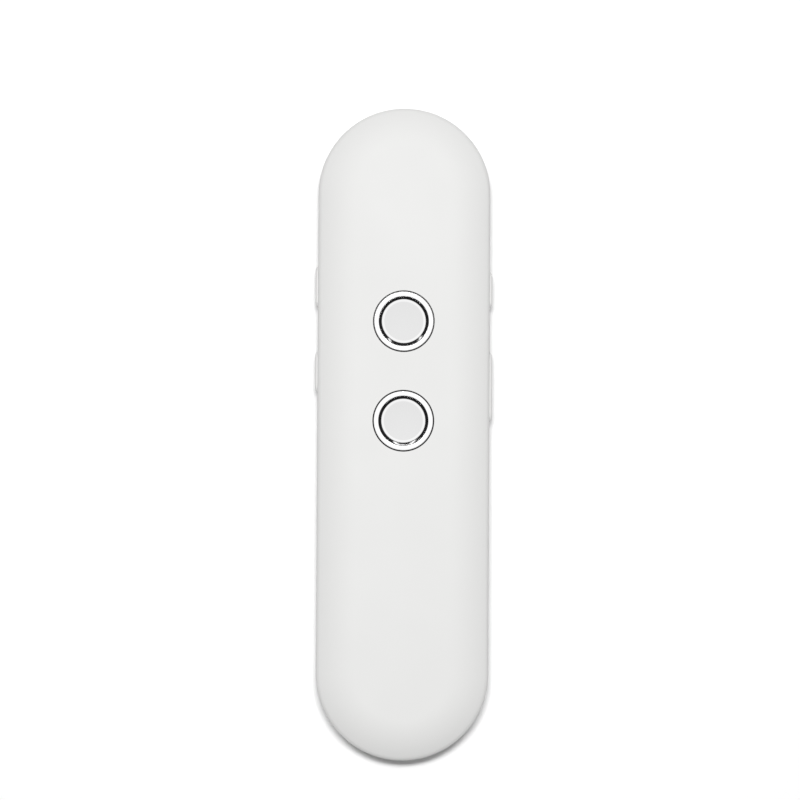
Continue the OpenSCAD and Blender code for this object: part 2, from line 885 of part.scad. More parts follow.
// Basket: an outer wall and a back plate with six vents, open towards the grille
module speaker_basket() {
    plate = 0.5;
    rim = 0.8;
    color("gray")
        at_speaker()
            difference() {
                translate([0, 0, basket_z])
                    cylinder(r = speaker_r, h = basket_height);
                translate([0, 0, basket_z - past])
                    cylinder(r = speaker_r - rim, h = basket_height - plate + past);
                for (k = [0:5])
                    rotate([0, 0, 60 * k + 30])
                        translate([(magnet_r + speaker_r - rim) / 2, 0, basket_z])
                            cylinder(r = 0.7, h = basket_height + past);
            }
}
module speaker_magnet() {
    color("silver")
        at_speaker()
            rotate_extrude()
                polygon([[0, magnet_z], [magnet_r, magnet_z],
                    [magnet_r, pad_z - 0.25], [magnet_r - 0.25, pad_z], [0, pad_z]]);
}

// Cone: a roll at the rim and a shallow dome, one thin skin
module speaker_cone() {
    skin = 0.15;
    rim_r = speaker_r - 0.8;
    roll = 0.8;
    neck_r = rim_r - 2 * roll - 0.4;
    rest_z = basket_z + 0.1;
    dome_rise = basket_height * 0.35;
    function skin_line(up) = concat(
        [[rim_r, rest_z + up]],
        arc([rim_r - 0.4 - roll, rest_z], roll - skin + up, 0, 180, 8),
        [for (i = [1:6]) let (t = i / 6) [neck_r * (1 - t), rest_z + up + dome_rise * sin(90 * t)]]);
    color("darkslategray")
        at_speaker()
            rotate_extrude()
                polygon(concat(skin_line(skin), backwards(skin_line(0))));
}
module speaker_pad() {
    color("darkgray")
        at_speaker()
            translate([0, 0, pad_z])
                cylinder(r = magnet_r * 0.8, h = board_bottom - pad_z);
}
module speaker_leads() {
    color("red")
        for (side = [-1, 1]) {
            from = [side * 2.5, speaker_y - speaker_r + 1.6, magnet_z + 0.3];
            to = [side * 2, speaker_y - speaker_r - 2.8, board_bottom - 0.3];
            wire(bezier(from, from - [0, 3, 0], to + [0, 0.5, -2], to, 8), 0.6);
        }
}

// ---- Microphones --------------------------------------------------------------------------

// Puts children at an end's centre, with +Y along the microphone's radius
module at_mic(end, angle) {
    translate([0, end * straight, mic_z])
        rotate([0, 0, end > 0 ? 0 : 180 + angle])
            children();
}
module along_y(from_y, r, length) {
    translate([0, from_y, 0])
        rotate([-90, 0, 0])
            cylinder(r = r, h = length);
}
module microphone(end, angle) {
    color("silver")
        at_mic(end, angle)
            along_y(boot_front - boot_length, mic_r, mic_length);
}
// Rubber boot round the microphone, with a nose that seals round the wall's sound hole
module mic_boot(end, angle) {
    color("black")
        at_mic(end, angle)
            difference() {
                union() {
                    along_y(boot_front - boot_length, mic_r + boot_wall, boot_length);
                    along_y(boot_front - bite, mic_hole_r + boot_wall,
                        wall_in_x - slide_gap - boot_front + bite);
                }
                along_y(boot_front - boot_length - past, mic_r, mic_length + past);
                along_y(boot_front - boot_length, mic_hole_r, boot_length + past);
            }
}
module mic_cradle(base) {
    boot_r = mic_r + boot_wall;
    difference() {
        block([2 * boot_r + 1.6, 1.4, mic_z - base],
            [0, boot_front - boot_length / 2, base - mic_z]);
        along_y(boot_front - boot_length - past, boot_r + pass_gap, boot_length + 2 * past);
    }
}

// ---- Charging port ------------------------------------------------------------------------

module port_tube(grow, from_y, length) {
    translate([0, from_y, port_z])
        rotate([-90, 0, 0])
            linear_extrude(length)
                hull_free_slot(port_width + 2 * grow, port_height + 2 * grow);
}
module usb_shell() {
    color("silver")
        difference() {
            port_tube(0, port_y, port_depth);
            port_tube(-port_wall, port_y - past, port_depth - 0.3 + past);
        }
}
tongue_size = [6.7, 4.6, 0.7];
module usb_tongue() {
    back_y = port_y + port_depth - 0.3;
    color("black") {
        block(tongue_size, [0, back_y - tongue_size[1] / 2, port_z - tongue_size[2] / 2]);
        port_tube(-port_wall - pass_gap, back_y - 1.2, 1.2);
    }
}
module usb_contacts() {
    pad = [0.25, 3, 0.05];
    color("gold")
        for (face = [0, 1], i = [0:11])
            block(pad, [(i - 5.5) * 0.5, port_y + port_depth - 0.3 - tongue_size[1] + 1.7,
                port_z + (face == 1 ? tongue_size[2] / 2 : -tongue_size[2] / 2 - pad[2])]);
}

// ---- Nodes --------------------------------------------------------------------------------

front_cover();
rear_cover();
bezel(0);  // upper_bezel
bezel(1);  // lower_bezel
light_ring(0);  // upper_light_ring
light_ring(1);  // lower_light_ring
button_cap(0);  // upper_button_cap
button_cap(1);  // lower_button_cap
talk_switch(0);  // upper_talk_switch
talk_switch(1);  // lower_talk_switch
talk_plunger(0);  // upper_talk_plunger
talk_plunger(1);  // lower_talk_plunger
short_key(-1, upper_key_y);  // left_upper_key
short_key(-1, lower_key_y);  // left_lower_key
short_key(1, upper_key_y, power_ramp, grip_groove);  // power_key
volume_rocker();
side_switch(-1, upper_key_y);  // left_upper_switch
side_switch(-1, lower_key_y);  // left_lower_switch
side_switch(1, upper_key_y);  // power_switch
side_switch(1, rocker_switches_y[0]);  // volume_up_switch
side_switch(1, rocker_switches_y[1]);  // volume_down_switch
side_plunger(-1, upper_key_y);  // left_upper_plunger
side_plunger(-1, lower_key_y);  // left_lower_plunger
side_plunger(1, upper_key_y);  // power_plunger
side_plunger(1, rocker_switches_y[0], pass_gap);  // volume_up_plunger
side_plunger(1, rocker_switches_y[1], pass_gap);  // volume_down_plunger
main_board();
board_screws();
ring_leds();
shield_can();
processor();
memory_chip();
audio_amplifier();
charger_chip();
power_inductor();
clock_crystal();
radio_antenna();
small_capacitors();
battery_cell();
battery_tape();
battery_guard_board();
battery_lead_red();
battery_lead_black();
battery_plug();
battery_socket();
speaker_basket();
speaker_magnet();
speaker_cone();
speaker_gasket();
speaker_mesh();
speaker_pad();
speaker_leads();
microphone(-1, bottom_mic_angle);  // bottom_microphone
mic_boot(-1, bottom_mic_angle);  // bottom_mic_boot
microphone(1, 0);  // top_microphone
mic_boot(1, 0);  // top_mic_boot
usb_shell();
usb_tongue();
usb_contacts();
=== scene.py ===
"""Handheld voice translator: the looks of the moulded bar, its two talk buttons and its side
keys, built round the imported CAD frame. +Z is the front face and +Y the top end. Lengths are
in metres, written as millimetres times MM."""

import math

import bmesh
import bpy
from mathutils import Matrix, Quaternion, Vector


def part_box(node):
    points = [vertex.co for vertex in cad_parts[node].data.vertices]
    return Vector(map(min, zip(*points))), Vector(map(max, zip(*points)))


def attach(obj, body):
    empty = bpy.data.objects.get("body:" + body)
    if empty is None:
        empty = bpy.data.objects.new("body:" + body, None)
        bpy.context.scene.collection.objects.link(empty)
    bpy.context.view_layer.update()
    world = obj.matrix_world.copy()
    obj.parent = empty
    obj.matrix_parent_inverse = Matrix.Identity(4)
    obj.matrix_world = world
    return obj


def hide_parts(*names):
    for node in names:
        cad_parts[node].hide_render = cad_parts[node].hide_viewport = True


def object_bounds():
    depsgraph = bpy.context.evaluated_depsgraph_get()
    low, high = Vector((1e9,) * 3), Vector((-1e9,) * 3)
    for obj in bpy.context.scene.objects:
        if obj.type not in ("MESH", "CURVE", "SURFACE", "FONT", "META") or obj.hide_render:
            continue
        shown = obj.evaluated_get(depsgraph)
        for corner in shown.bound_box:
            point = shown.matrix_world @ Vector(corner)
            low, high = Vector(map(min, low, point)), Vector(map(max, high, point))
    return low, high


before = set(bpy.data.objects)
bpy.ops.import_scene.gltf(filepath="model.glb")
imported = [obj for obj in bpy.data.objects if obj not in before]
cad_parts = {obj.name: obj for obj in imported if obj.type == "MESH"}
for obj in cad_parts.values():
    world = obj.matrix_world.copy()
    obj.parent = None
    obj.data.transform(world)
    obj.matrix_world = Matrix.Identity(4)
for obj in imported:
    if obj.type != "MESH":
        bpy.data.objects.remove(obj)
cad_low, cad_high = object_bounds()
MM = 0.001

# ---- Rear cover --------------------------------------------------------------------------
# The rear half of the case: one moulding in white ABS, a flat back crowned towards its sides,
# with a tongue round its rim that snaps into the front cover. Ribs on its floor hold the
# battery, the loudspeaker and the microphones, and the loudspeaker's grille goes through it.
rear_low, rear_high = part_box("rear_cover")
seam_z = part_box("front_cover")[0].z
half_width = rear_high.x
straight = rear_high.y - half_width  # from the bar's middle to the centre of a round end
wall = 1.5 * MM
inner_x = half_width - wall
tongue_x = inner_x + 0.65 * MM
tongue_z = rear_high.z
seam_bevel = 0.12 * MM
back_flat, back_crown, back_edge = 22 * MM, 24 * MM, 3.5 * MM
END_STEPS = 90  # facets round half a turn of the bar's ends
LOFT_SIDES = 62  # facets round a lofted bar: no multiple of 4, so no corner lies midway
TINY = 0.002 * MM  # places closer than this are one


def start_at(x, y, z):
    """A new mesh of a single vertex, left in edit mode and selected."""
    bpy.ops.object.select_all(action="DESELECT")
    bpy.ops.mesh.primitive_plane_add(size=MM)
    bpy.ops.object.mode_set(mode="EDIT")
    bpy.ops.mesh.select_mode(type="VERT")
    bpy.ops.mesh.merge(type="CENTER")
    bpy.ops.transform.translate(value=(x, y, z))


def in_edit():
    return bmesh.from_edit_mesh(bpy.context.object.data)


def pen():
    """Where the one selected vertex is, the end of the section that is being drawn."""
    return next(v.co.copy() for v in in_edit().verts if v.select)


def line_to(x, z):
    """Draws straight on to a place, across the bar and up."""
    here = pen()
    step = (x - here.x, 0, z - here.z)
    bpy.ops.mesh.extrude_region_move(TRANSFORM_OT_translate={"value": step})


def arc_about(x, z, degrees, steps):
    """Draws an arc about a centre. A positive angle turns from +Z towards +X."""
    centre = (x, pen().y, z)
    bpy.ops.mesh.spin(steps=steps, angle=-math.radians(degrees), center=centre, axis=(0, 1, 0))


def pick(kind, wanted):
    """Selects only the vertices, edges or faces for which wanted is true, by their place."""
    bpy.ops.mesh.select_mode(type=kind)
    bpy.ops.mesh.select_all(action="DESELECT")
    mesh = in_edit()
    for part in {"VERT": mesh.verts, "EDGE": mesh.edges, "FACE": mesh.faces}[kind]:
        part.select_set(bool(wanted(part)))
    bmesh.update_edit_mesh(bpy.context.object.data)


def weld():
    """Closes the seams and poles of a turned shape and points its faces outwards."""
    bpy.ops.mesh.select_all(action="SELECT")
    bpy.ops.mesh.remove_doubles(threshold=TINY)
    bpy.ops.mesh.normals_make_consistent(inside=False)


def carry_round_bar():
    """Carries the drawn half section round one end, down both sides and round the other."""

    def on_line(edge, y, from_x):
        return all(abs(v.co.y - y) < TINY and v.co.x > from_x for v in edge.verts)

    half_turn = {"steps": END_STEPS, "axis": (0, 0, 1)}
    bpy.ops.mesh.select_all(action="SELECT")
    bpy.ops.mesh.spin(angle=-math.pi, center=(0, straight, 0), **half_turn)
    weld()
    pick("EDGE", lambda e: on_line(e, straight, -1))
    bpy.ops.mesh.extrude_region_move(TRANSFORM_OT_translate={"value": (0, -2 * straight, 0)})
    pick("EDGE", lambda e: on_line(e, -straight, -TINY))
    bpy.ops.mesh.spin(angle=math.pi, center=(0, -straight, 0), **half_turn)
    weld()


def turn_about(x, y, steps):
    """Turns the drawn section once round an upright axis."""
    bpy.ops.mesh.select_all(action="SELECT")
    bpy.ops.mesh.spin(steps=steps, angle=2 * math.pi, center=(x, y, 0), axis=(0, 0, 1))
    weld()


def leave_edit(name):
    """Leaves edit mode and names the piece."""
    bpy.ops.object.mode_set(mode="OBJECT")
    piece = bpy.context.object
    piece.name = piece.data.name = name
    return piece


def take(piece):
    """Makes a piece the only selected one, and the active one."""
    bpy.ops.object.select_all(action="DESELECT")
    piece.select_set(True)
    bpy.context.view_layer.objects.active = piece


def combine(piece, tool, operation="DIFFERENCE"):
    """Cuts a tool's shape out of a piece, or unites the two, and drops the tool."""
    take(piece)
    change = piece.modifiers.new("Combine", "BOOLEAN")
    change.operation, change.solver, change.object = operation, "EXACT", tool
    bpy.ops.object.modifier_apply(modifier=change.name)
    bpy.data.objects.remove(tool)


def blocks(name, places):
    """Square ribs as one mesh, each by its middle, its size and its turn about +Z."""
    start_at(0, 0, 0)
    bpy.ops.mesh.delete(type="VERT")
    for middle, size, turn in places:
        place = {"location": middle, "rotation": (0, 0, turn), "scale": size}
        bpy.ops.mesh.primitive_cube_add(size=1, **place)
    return leave_edit(name)


def rods(name, places, radius, depth, axis="Z", sides=48):
    """Round pins as one mesh, by their middles and turns about +Z. They stand, or lie on Y."""
    start_at(0, 0, 0)
    bpy.ops.mesh.delete(type="VERT")
    lean = 0 if axis == "Z" else math.pi / 2
    for middle, turn in places:
        place = {"location": middle, "rotation": (lean, 0, turn)}
        bpy.ops.mesh.primitive_cylinder_add(vertices=sides, radius=radius, depth=depth, **place)
    return leave_edit(name)


def smooth(piece, degrees=32):
    """Smooth shading with sharp edges above an angle, weighted towards the larger faces, so
    that a flat stays flat up to its rounds. The weighting takes faces of under a square
    millimetre for equal, so the mesh is enlarged while it is done."""
    take(piece)
    bpy.ops.object.shade_smooth_by_angle(angle=math.radians(degrees))
    piece.data.transform(Matrix.Scale(1 / MM, 4))
    weighted = piece.modifiers.new("Weighted normals", "WEIGHTED_NORMAL")
    weighted.keep_sharp = True
    bpy.ops.object.modifier_apply(modifier=weighted.name)
    piece.data.transform(Matrix.Scale(MM, 4))


def round_bar_piece(name, facing, levels, centre):
    """A bar with round ends, lofted through levels of (place, end radius, distances of its
    lower and upper end's centre from the middle). Facing X it lies along Y and grows along X;
    facing Y it lies along X and grows along Y."""
    sideways = facing == "X"
    growth = Vector((1, 0, 0)) if sideways else Vector((0, 1, 0))
    along = Vector((0, 1, 0)) if sideways else Vector((1, 0, 0))
    middle = Vector(centre)
    place, radius, reaches = levels[0]
    bpy.ops.object.select_all(action="DESELECT")
    bpy.ops.mesh.primitive_circle_add(vertices=LOFT_SIDES, radius=radius, fill_type="NGON")
    bpy.ops.object.mode_set(mode="EDIT")
    for axis in "Y" if sideways else "ZX":
        bpy.ops.transform.rotate(value=math.pi / 2, orient_axis=axis, center_override=(0, 0, 0))
    bpy.ops.transform.translate(value=middle + growth * place)

    def shape_ends(scale, old_reaches, new_reaches):
        mesh = in_edit()
        mesh.verts.index_update()
        face = {v.index for v in mesh.verts if v.select}
        for end, old, new in zip((-1, 1), old_reaches, new_reaches):
            pick("VERT", lambda v: v.index in face and (v.co - middle).dot(along) * end > 0)
            hub = middle + growth * place + along * end * old
            bpy.ops.transform.resize(value=(scale, scale, scale), center_override=hub)
            bpy.ops.transform.translate(value=along * end * (new - old))
        pick("VERT", lambda v: v.index in face)
        in_edit().select_flush(True)

    shape_ends(1, (0, 0), reaches)
    for next_place, next_radius, next_reaches in levels[1:]:
        bpy.ops.mesh.select_mode(type="FACE")
        step = growth * (next_place - place)
        bpy.ops.mesh.extrude_region_move(TRANSFORM_OT_translate={"value": step})
        place = next_place
        shape_ends(next_radius / radius, reaches, next_reaches)
        radius, reaches = next_radius, next_reaches
    weld()
    return leave_edit(name)


# The section of the rear cover, from the middle of its back round its edge and back inside.
back_turn = math.degrees(
    math.asin((half_width - back_edge - back_flat / 2) / (back_crown - back_edge))
)
back_edge_x = half_width - back_edge
back_edge_z = back_crown - (back_crown - back_edge) * math.cos(math.radians(back_turn))
start_at(0, straight, 0)
line_to(back_flat / 2, 0)
arc_about(back_flat / 2, back_crown, -back_turn, 12)
arc_about(back_edge_x, back_edge_z, back_turn - 90, 20)
line_to(half_width, seam_z - seam_bevel)
line_to(half_width - seam_bevel, seam_z)
line_to(tongue_x, seam_z)
line_to(tongue_x, tongue_z)
line_to(inner_x, tongue_z)
line_to(inner_x, back_edge_z)
arc_about(back_edge_x, back_edge_z, 90 - back_turn, 8)
arc_about(back_flat / 2, back_crown, back_turn, 4)
line_to(0, wall)
carry_round_bar()
rear_cover = leave_edit("rear_cover_moulding")

# Ribs round the battery and the loudspeaker, and a cradle under each microphone's boot.
rib_wall, rib_gap, rib_height = 0.9 * MM, 0.2 * MM, 2.2 * MM
rib_root = 0.4 * MM  # how far the ribs reach into the floor
rib_size_z = rib_height + rib_root
rib_z = wall + (rib_height - rib_root) / 2
cell_low, cell_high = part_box("battery_cell")
cell_y, cell_length = (cell_low.y + cell_high.y) / 2, cell_high.y - cell_low.y
cell_width = 2 * cell_high.x
rib_step = rib_gap + rib_wall / 2
# Shares of the cell's side: a long rib, a short one beside its leads, and where that one stands.
long_share, short_share, short_place = 0.6, 0.2, 0.38
lower_rib = (long_share * cell_width, rib_wall, rib_size_z)
side_rib = (rib_wall, long_share * cell_length, rib_size_z)
upper_rib = (short_share * cell_width, rib_wall, rib_size_z)
battery_ribs = [((0, cell_low.y - rib_step, rib_z), lower_rib, 0)]
for side in (-1, 1):
    battery_ribs.append(((side * (cell_high.x + rib_step), cell_y, rib_z), side_rib, 0))
    upper_rib_at = (side * short_place * cell_width, cell_high.y + rib_step, rib_z)
    battery_ribs.append((upper_rib_at, upper_rib, 0))
combine(rear_cover, blocks("battery_ribs", battery_ribs), "UNION")

basket_low, basket_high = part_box("speaker_basket")
speaker_y, speaker_r = (basket_low.y + basket_high.y) / 2, basket_high.x
start_at(speaker_r + rib_gap, speaker_y, wall - rib_root)
line_to(speaker_r + rib_gap + rib_wall, wall - rib_root)
line_to(speaker_r + rib_gap + rib_wall, wall + rib_height)
line_to(speaker_r + rib_gap, wall + rib_height)
line_to(speaker_r + rib_gap, wall - rib_root)
turn_about(0, speaker_y, 96)
combine(rear_cover, leave_edit("speaker_rib"), "UNION")

mic_hole_r, mic_bore_r = 0.5 * MM, 2.05 * MM
cradle_at, cradle_width, cradle_depth = 15.95 * MM, 5.6 * MM, 1.4 * MM
for node, end in (("top_microphone", 1), ("bottom_microphone", -1)):
    low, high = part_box(node)
    mic = (low + high) / 2
    turn = math.atan2(-mic.x, mic.y - end * straight)
    outwards = Vector((-math.sin(turn), math.cos(turn), 0))
    hub = Vector((0, end * straight, mic.z))
    base = wall - rib_root
    middle = hub + outwards * cradle_at
    middle.z = (base + mic.z) / 2
    cradle = blocks("cradle", [(middle, (cradle_width, cradle_depth, mic.z - base), turn)])
    channel_at = [(hub + outwards * cradle_at, turn)]
    combine(cradle, rods("channel", channel_at, mic_bore_r, 1.5 * cradle_depth, "Y"))
    combine(rear_cover, cradle, "UNION")
    hole_at = [(hub + outwards * (inner_x + wall / 2), turn)]
    combine(rear_cover, rods("sound_hole", hole_at, mic_hole_r, 2 * wall, "Y"))

SIDE_KEYS = ["left_upper_key", "left_lower_key", "power_key", "volume_rocker"]
key_height = 2.8 * MM
flange_over_y = 1.2 * MM  # the flange behind the wall, past each end of the key
short_key_gap = 0.12 * MM
key_gap = {"volume_rocker": 0.2 * MM}  # at its ends, where the short keys have short_key_gap


def key_place(node):
    """A side key's side, its middle and the length that shows in the wall."""
    low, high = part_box(node)
    middle = Vector((0, (low.y + high.y) / 2, (low.z + high.z) / 2))
    return math.copysign(1, low.x + high.x), middle, high.y - low.y - 2 * flange_over_y


def slot_cutter(centre, length, height, facing, start, end):
    """A prism with round ends that opens a wall between two places along X or Y."""
    radius = height / 2
    reaches = (length / 2 - radius, length / 2 - radius)
    levels = [(start, radius, reaches), (end, radius, reaches)]
    return round_bar_piece("slot", facing, levels, centre)


def open_side_walls(cover):
    """Cuts the four key slots and the charging port's slot."""
    reach = 2 * wall
    for node in SIDE_KEYS:
        side, middle, length = key_place(node)
        length += 2 * key_gap.get(node, short_key_gap)
        height = key_height + 2 * short_key_gap
        start, end = side * (inner_x - reach), side * (half_width + reach)
        combine(cover, slot_cutter(middle, length, height, "X", start, end))
    low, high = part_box("usb_shell")
    port_gap = 0.2 * MM
    width, height = high.x - low.x + 2 * port_gap, high.z - low.z + 2 * port_gap
    middle = Vector((0, 0, (low.z + high.z) / 2))
    start, end = rear_low.y - reach, rear_low.y + wall + reach
    combine(cover, slot_cutter(middle, width, height, "Y", start, end))


def snap_beads(cover, operation, extra=0):
    """Three half-round beads along each side of the tongue, or the grooves that take them."""
    bead_r, bead_length = 0.3 * MM + extra, 8 * MM + 2 * extra
    bead_inset, bead_share = 0.105 * MM, 0.55  # from the tongue's face, and of its height
    bead_x, bead_z = tongue_x - bead_inset, seam_z + bead_share * (tongue_z - seam_z)
    bead_ys = [-44 * MM, -16 * MM, 47 * MM]
    places = [((side * bead_x, y, bead_z), 0) for side in (-1, 1) for y in bead_ys]
    combine(cover, rods("beads", places, bead_r, bead_length, "Y", 24), operation)


snap_beads(rear_cover, "UNION")
open_side_walls(rear_cover)

# The tongue stops short of the charging port on either side.
port_low, port_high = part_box("usb_shell")
notch_room = 2 * MM
notch_width = port_high.x - port_low.x + 2 * notch_room
notch_size = Vector((notch_width, 4 * wall, 2 * (tongue_z - seam_z)))
notch_at = Vector((0, rear_low.y + wall, seam_z + notch_size.z / 2))
combine(rear_cover, blocks("port_notch", [(notch_at, notch_size, 0)]))

# The grille: a hexagonal field of holes with a small countersink, cut in one go.
grille_hole_r, grille_pitch, countersink = 0.5 * MM, 2 * MM, 0.12 * MM
grille_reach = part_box("speaker_mesh")[1].x - grille_hole_r
row_pitch = grille_pitch * math.sin(math.pi / 3)
rows_out, holes_out = 4, 5  # from the middle of the field, before its round edge is cut
holes = []
for j in range(-rows_out, rows_out + 1):
    for i in range(-holes_out, holes_out + 1):
        hole = Vector(((i + j % 2 / 2) * grille_pitch, speaker_y + j * row_pitch, 0))
        if (hole - Vector((0, speaker_y, 0))).length < grille_reach:
            holes.append(hole)
first_hole = holes[0]
start_at(first_hole.x, first_hole.y, -wall)
line_to(first_hole.x + grille_hole_r + countersink, -wall)
line_to(first_hole.x + grille_hole_r + countersink, -countersink / 4)
line_to(first_hole.x + grille_hole_r, countersink * 3 / 4)
line_to(first_hole.x + grille_hole_r, 2 * wall)
line_to(first_hole.x, 2 * wall)
turn_about(first_hole.x, first_hole.y, 24)
for last, hole in zip(holes, holes[1:]):
    bpy.ops.mesh.duplicate_move(TRANSFORM_OT_translate={"value": hole - last})
combine(rear_cover, leave_edit("grille"))
smooth(rear_cover)


def linear(hex_colour):
    """An sRGB hex colour as linear red, green, blue and alpha."""
    parts = [int(hex_colour[i : i + 2], 16) / 255 for i in (1, 3, 5)]
    return (*[p / 12.92 if p <= 0.04045 else ((p + 0.055) / 1.055) ** 2.4 for p in parts], 1)


def add_node(material, kind, values=None, links=None, **settings):
    """Adds a node to a material, with its settings, its sockets' values and its links."""
    node = material.node_tree.nodes.new("ShaderNode" + kind)
    for name, value in settings.items():
        setattr(node, name, value)
    for socket, value in (values or {}).items():
        node.inputs[socket].default_value = value
    for socket, source in (links or {}).items():
        material.node_tree.links.new(source, node.inputs[socket])
    return node


def new_material(name, values):
    """A material that has only its shader, with the values that are the same all over, and
    the place on the piece that its patterns read."""
    material = bpy.data.materials.new(name)
    material.use_nodes = True
    material.node_tree.nodes.clear()
    shader = add_node(material, "BsdfPrincipled", values)
    add_node(material, "OutputMaterial", links={"Surface": shader.outputs[0]})
    return material, shader, add_node(material, "TexCoord").outputs["Object"]


def noise(material, place, width, detail, distortion=0):
    """A soft random pattern, with blotches about as wide as given."""
    values = {"Scale": 1 / width, "Detail": detail, "Distortion": distortion}
    return add_node(material, "TexNoise", values, {"Vector": place}).outputs["Fac"]


def between(material, factor, first, second):
    """A colour that goes from one hex colour to another with a factor."""
    colours = {6: linear(first), 7: linear(second)}
    mix = add_node(material, "Mix", colours, {0: factor}, data_type="RGBA")
    return mix.outputs[2]


def work_surface(material, shader, tone, colours, gloss, relief, depth):
    """Lets one pattern drift a surface's colour and roughness, and another raise it. The
    gloss spans 0.3 to 0.7, where most of a noise lies."""
    spread = {"From Min": 0.3, "From Max": 0.7, "To Min": gloss[0], "To Max": gloss[1]}
    shine = add_node(material, "MapRange", spread, {"Value": tone})
    bump = add_node(material, "Bump", {"Strength": 1, "Distance": depth}, {"Height": relief})
    link = material.node_tree.links.new
    link(between(material, tone, *colours), shader.inputs["Base Color"])
    link(shine.outputs["Result"], shader.inputs["Roughness"])
    link(bump.outputs["Normal"], shader.inputs["Normal"])


def moulded_plastic(name, colours, gloss, grain, depth, values=None):
    """Plastic from a textured tool. The melt's flow drifts its tone and gloss over
    centimetres, and the tool's grain, given by its width and depth, breaks up highlights."""
    material, shader, place = new_material(name, {"IOR": 1.5, **(values or {})})
    flow_width = 18 * MM
    flow = noise(material, place, flow_width, 2)
    skin = noise(material, place, grain, 3)
    work_surface(material, shader, flow, colours, gloss, skin, depth)
    return material


# White ABS with a spark-eroded skin: an even, soft sheen with no sharp highlight. The grain's
# tiny pits shade one another, which takes some of its shine. The real grain is about 0.05 mm
# wide and is drawn six times coarser, so that it shows at all.
satin_abs = moulded_plastic(
    "satin_white_abs",
    ("#DEDEDD", "#DCDCDB"),
    (0.58, 0.64),
    0.3 * MM,
    0.0006 * MM,
    {"Specular IOR Level": 0.3},
)
rear_cover.data.materials.append(satin_abs)
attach(rear_cover, "bar")
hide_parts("rear_cover")

# ---- Loudspeaker --------------------------------------------------------------------------
# A 20 mm loudspeaker that lies face down over the grille: a nylon basket on a foam gasket, a
# pressed film cone and a nickel-plated magnet, with a dust mesh glued over the holes. A foam
# pad under the board presses it down, and two soft leads run to the board.


def dress(material, *names):
    """Gives its finish to pieces that keep the frame's own shape."""
    for name in names:
        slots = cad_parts[name].data.materials
        slots.clear()
        slots.append(material)


def worked_metal(name, colours, gloss, line, depth):
    """Bare or plated metal. Noise that is stretched along Y draws the fine lines that rolling
    or drawing leaves, at their spacing, and lets the gloss waver with them."""
    material, shader, place = new_material(name, {"Metallic": 1})
    drawn_out = 0.06
    across = {"Scale": (1 / line, drawn_out / line, 1 / line)}
    stretch = add_node(material, "Mapping", across, {"Vector": place}).outputs["Vector"]
    lines = noise(material, stretch, 1, 4)
    work_surface(material, shader, lines, colours, gloss, lines, depth)
    return material


def closed_foam(name, colours, cell):
    """Cellular foam: each cell is a small pit, painted darker towards its middle as painted shade,
    with a paler skin round it, dull all over.
    """
    material, shader, place = new_material(name, {"IOR": 1.45, "Specular IOR Level": 0.3})
    cells = add_node(material, "TexVoronoi", {"Scale": 1 / cell}, {"Vector": place})
    pit_depth_and_shade = cells.outputs["Distance"]
    # The pits' depth also darkens their colour towards the middle: painted shade.
    work_surface(material, shader, pit_depth_and_shade, colours, (0.9, 0.98), pit_depth_and_shade, 0.4 * cell)
    return material


def wave_scale(pitch):
    """The scale at which the bands of a wave texture come at a pitch."""
    return 2 * math.pi / 20 / pitch


def tin_over(material, shader, mask, hex_colour):
    """Plates a surface with bare metal where a mask is one."""
    base_colour = shader.inputs["Base Color"]
    under = base_colour.links[0].from_socket
    colours = {7: linear(hex_colour)}
    plated = add_node(material, "Mix", colours, {0: mask, 6: under}, data_type="RGBA")
    material.node_tree.links.new(plated.outputs[2], base_colour)
    material.node_tree.links.new(mask, shader.inputs["Metallic"])


# Plain-woven black polyester: two sets of round threads that cross. Their crowns are painted lighter,
# a painted sheen along each thread, and the gaps between them darker, painted shade. The real threads
# are 0.1 mm apart and are drawn three times as far, so that they show.
woven_polyester, shader, place = new_material("woven_black_polyester", {"IOR": 1.5})
thread_pitch = 0.3 * MM
band_scale = {"Scale": wave_scale(thread_pitch)}
warp, weft = [
    add_node(woven_polyester, "TexWave", band_scale, {"Vector": place}, bands_direction=axis)
    for axis in "XY"
]
threads = {0: warp.outputs["Fac"], 1: weft.outputs["Fac"]}
thread_rise_and_sheen = add_node(woven_polyester, "Math", links=threads, operation="MAXIMUM").outputs[0]
# The threads' rise also sets the colour: crowns painted lighter as a painted sheen, gaps painted
# darker as painted shade.
work_surface(
    woven_polyester, shader, thread_rise_and_sheen, ("#08080A", "#1E1E20"), (0.6, 0.8), thread_rise_and_sheen, 0.04 * MM
)
dress(woven_polyester, "speaker_mesh")

# Black polyurethane foam, closed-celled: pitted and quite dull.
black_foam = closed_foam("black_polyurethane_foam", ("#131314", "#29292B"), 0.35 * MM)
dress(black_foam, "speaker_gasket", "speaker_pad")
# Glass-filled nylon: dark grey, a little mottled where the fibres come to the skin.
filled_nylon = moulded_plastic(
    "glass_filled_nylon", ("#2C2C2E", "#212123"), (0.46, 0.6), 0.5 * MM, 0.004 * MM
)
dress(filled_nylon, "speaker_basket")
# Black polyester film, pressed hot: smooth and fairly glossy with a slight waviness.
pressed_film = moulded_plastic(
    "pressed_black_film", ("#1C1C1E", "#232325"), (0.22, 0.34), 2.5 * MM, 0.006 * MM
)
dress(pressed_film, "speaker_cone")
# Bright nickel over turned iron: warm grey, with lathe lines under a soft mirror.
nickel_plate = worked_metal(
    "nickel_plated_iron", ("#D2CDC6", "#BCB6AE"), (0.2, 0.32), 0.3 * MM, 0.001 * MM
)
dress(nickel_plate, "speaker_magnet")
# Silicone insulation, extruded: dense colour and a skin that is neither dull nor glossy.
red_insulation = moulded_plastic(
    "red_silicone_insulation", ("#B5261E", "#9C1C17"), (0.42, 0.52), 0.6 * MM, 0.004 * MM
)
dress(red_insulation, "speaker_leads")

# ---- Microphones --------------------------------------------------------------------------
# A small electret capsule in a deep-drawn can near each round end, pushed into a silicone
# boot whose nose seals round the sound hole. The rear cover's cradles hold the boots.

